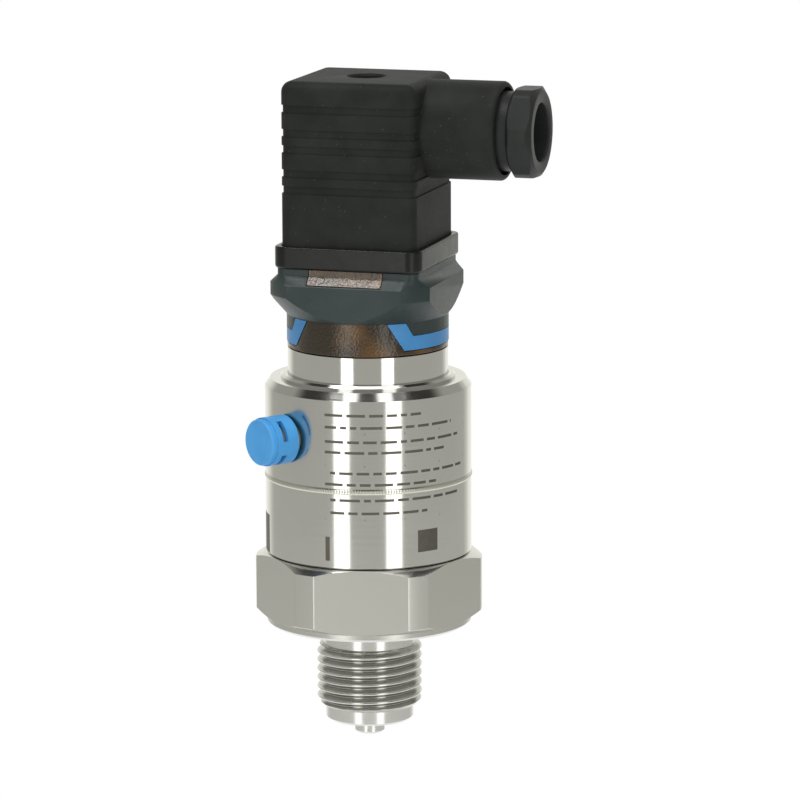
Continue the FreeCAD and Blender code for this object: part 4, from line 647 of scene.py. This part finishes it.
def studio_air():
    """White paper behind and under the object, seen by the camera, through clear pieces and in metal. Metal
    also mirrors the dimmer room on the camera's side and the dark ceiling. Diffuse light comes evenly."""
    world = bpy.data.worlds.new("studio_air")
    world.use_nodes = True
    tree = world.node_tree
    tree.nodes.clear()
    path = add(tree, "ShaderNodeLightPath").outputs
    way = add(tree, "ShaderNodeTexCoord").outputs["Generated"]
    side = math.radians(VIEW_TURN)
    aside, ahead = math.sin(side), -math.cos(side)

    back = add(tree, "ShaderNodeVectorMath", {1: (-aside, -ahead, 0.0)}, {0: way}, operation="DOT_PRODUCT")
    rise = add(tree, "ShaderNodeSeparateXYZ", links={0: way})
    room = add(tree, "ShaderNodeMapRange", {"From Min": ROOM_SPAN[0], "From Max": ROOM_SPAN[1],
                                            "To Min": ROOM_LIGHT[0], "To Max": ROOM_LIGHT[1]},
               {"Value": rise.outputs["Z"]})
    behind = add(tree, "ShaderNodeMapRange", {"From Min": BACK_SPAN[0], "From Max": BACK_SPAN[1]},
                 {"Value": back.outputs["Value"]})
    around = add(tree, "ShaderNodeMix", {"B": BACK_LIGHT},
                 {"Factor": behind.outputs["Result"], "A": room.outputs["Result"]})

    tipped = add(tree, "ShaderNodeVectorMath", {1: (CEILING_LEAN * aside, CEILING_LEAN * ahead, 1.0)},
                 {0: way}, operation="DOT_PRODUCT")
    above = add(tree, "ShaderNodeMapRange", {"From Min": CEILING_SPAN[0], "From Max": CEILING_SPAN[1]},
                {"Value": tipped.outputs["Value"]})
    mirrored = add(tree, "ShaderNodeMix", {"B": CEILING_LIGHT},
                   {"Factor": above.outputs["Result"], "A": around.outputs["Result"]})

    felt = add(tree, "ShaderNodeMix", {"A": AIR_LIGHT},
               {"Factor": path["Is Glossy Ray"], "B": mirrored.outputs["Result"]})
    seen = add(tree, "ShaderNodeMath", links={0: path["Is Camera Ray"], 1: path["Is Transmission Ray"]},
               operation="ADD")
    level = add(tree, "ShaderNodeMix", {"B": 1.0}, {"Factor": seen.outputs[0], "A": felt.outputs["Result"]})
    tint = add(tree, "ShaderNodeMix", {6: WHITE, 7: WARM_ROOM}, {0: path["Is Glossy Ray"]}, data_type="RGBA")
    air = add(tree, "ShaderNodeBackground",
              links={"Color": tint.outputs[2], "Strength": level.outputs["Result"]})
    add(tree, "ShaderNodeOutputWorld", links={"Surface": air.outputs["Background"]})
    bpy.context.scene.world = world


def studio_floor():
    """A round sheet of white paper under the object. It keeps the object's shadow, and glows a little for the
    camera, in metal and through clear pieces, so that it ends in the white behind it."""
    finish, tree, _place = blank_finish("studio_paper_white")
    path = add(tree, "ShaderNodeLightPath").outputs
    mirror = add(tree, "ShaderNodeMath", links={0: path["Is Glossy Ray"], 1: path["Is Transmission Ray"]},
                 operation="ADD")
    seen = add(tree, "ShaderNodeMath", links={0: path["Is Camera Ray"], 1: mirror.outputs[0]},
               operation="ADD", use_clamp=True)
    lift = add(tree, "ShaderNodeMath", {1: PAPER_LIFT}, {0: seen.outputs[0]}, operation="MULTIPLY")
    paper = add(tree, "ShaderNodeBsdfDiffuse", {"Color": linear("#E6E6E6")})
    glow = add(tree, "ShaderNodeEmission", {"Color": WHITE}, {"Strength": lift.outputs[0]})
    both = add(tree, "ShaderNodeAddShader", links={0: paper.outputs["BSDF"], 1: glow.outputs["Emission"]})
    add(tree, "ShaderNodeOutputMaterial", links={"Surface": both.outputs["Shader"]})
    turn = np.linspace(0, 2 * np.pi, FLOOR_SIDES, endpoint=False)
    rim = np.stack([FLOOR_REACH * np.cos(turn), FLOOR_REACH * np.sin(turn), np.full_like(turn, FLOOR_LEVEL)],
                   axis=-1)
    mesh = bpy.data.meshes.new("studio_floor")
    mesh.from_pydata(rim.tolist(), [], [list(range(FLOOR_SIDES))])
    mesh.materials.append(finish)
    floor = placed("studio_floor", mesh)


def studio_camera():
    """The camera of the photograph, level across the object but for a slight lean."""
    side = math.radians(VIEW_TURN)
    data = bpy.data.cameras.new("camera")
    data.lens = LENS
    data.sensor_width = SENSOR
    data.clip_start = NEAREST
    data.clip_end = FARTHEST
    camera = placed("camera", data)
    camera.location = Vector((math.sin(side) * VIEW_DISTANCE, -math.cos(side) * VIEW_DISTANCE,
                              VIEW_HEIGHT)) * MM
    target = Vector((math.cos(side) * AIM_ASIDE, math.sin(side) * AIM_ASIDE, AIM_HEIGHT)) * MM
    level = (target - camera.location).to_track_quat("-Z", "Y")
    camera.rotation_euler = (level @ Quaternion((0, 0, 1), math.radians(-LEAN))).to_euler()
    bpy.context.scene.camera = camera


bpy.context.scene.view_settings.view_transform = "Standard"
studio_air()
studio_floor()
for settings in LAMPS:
    lamp(*settings)
studio_camera()
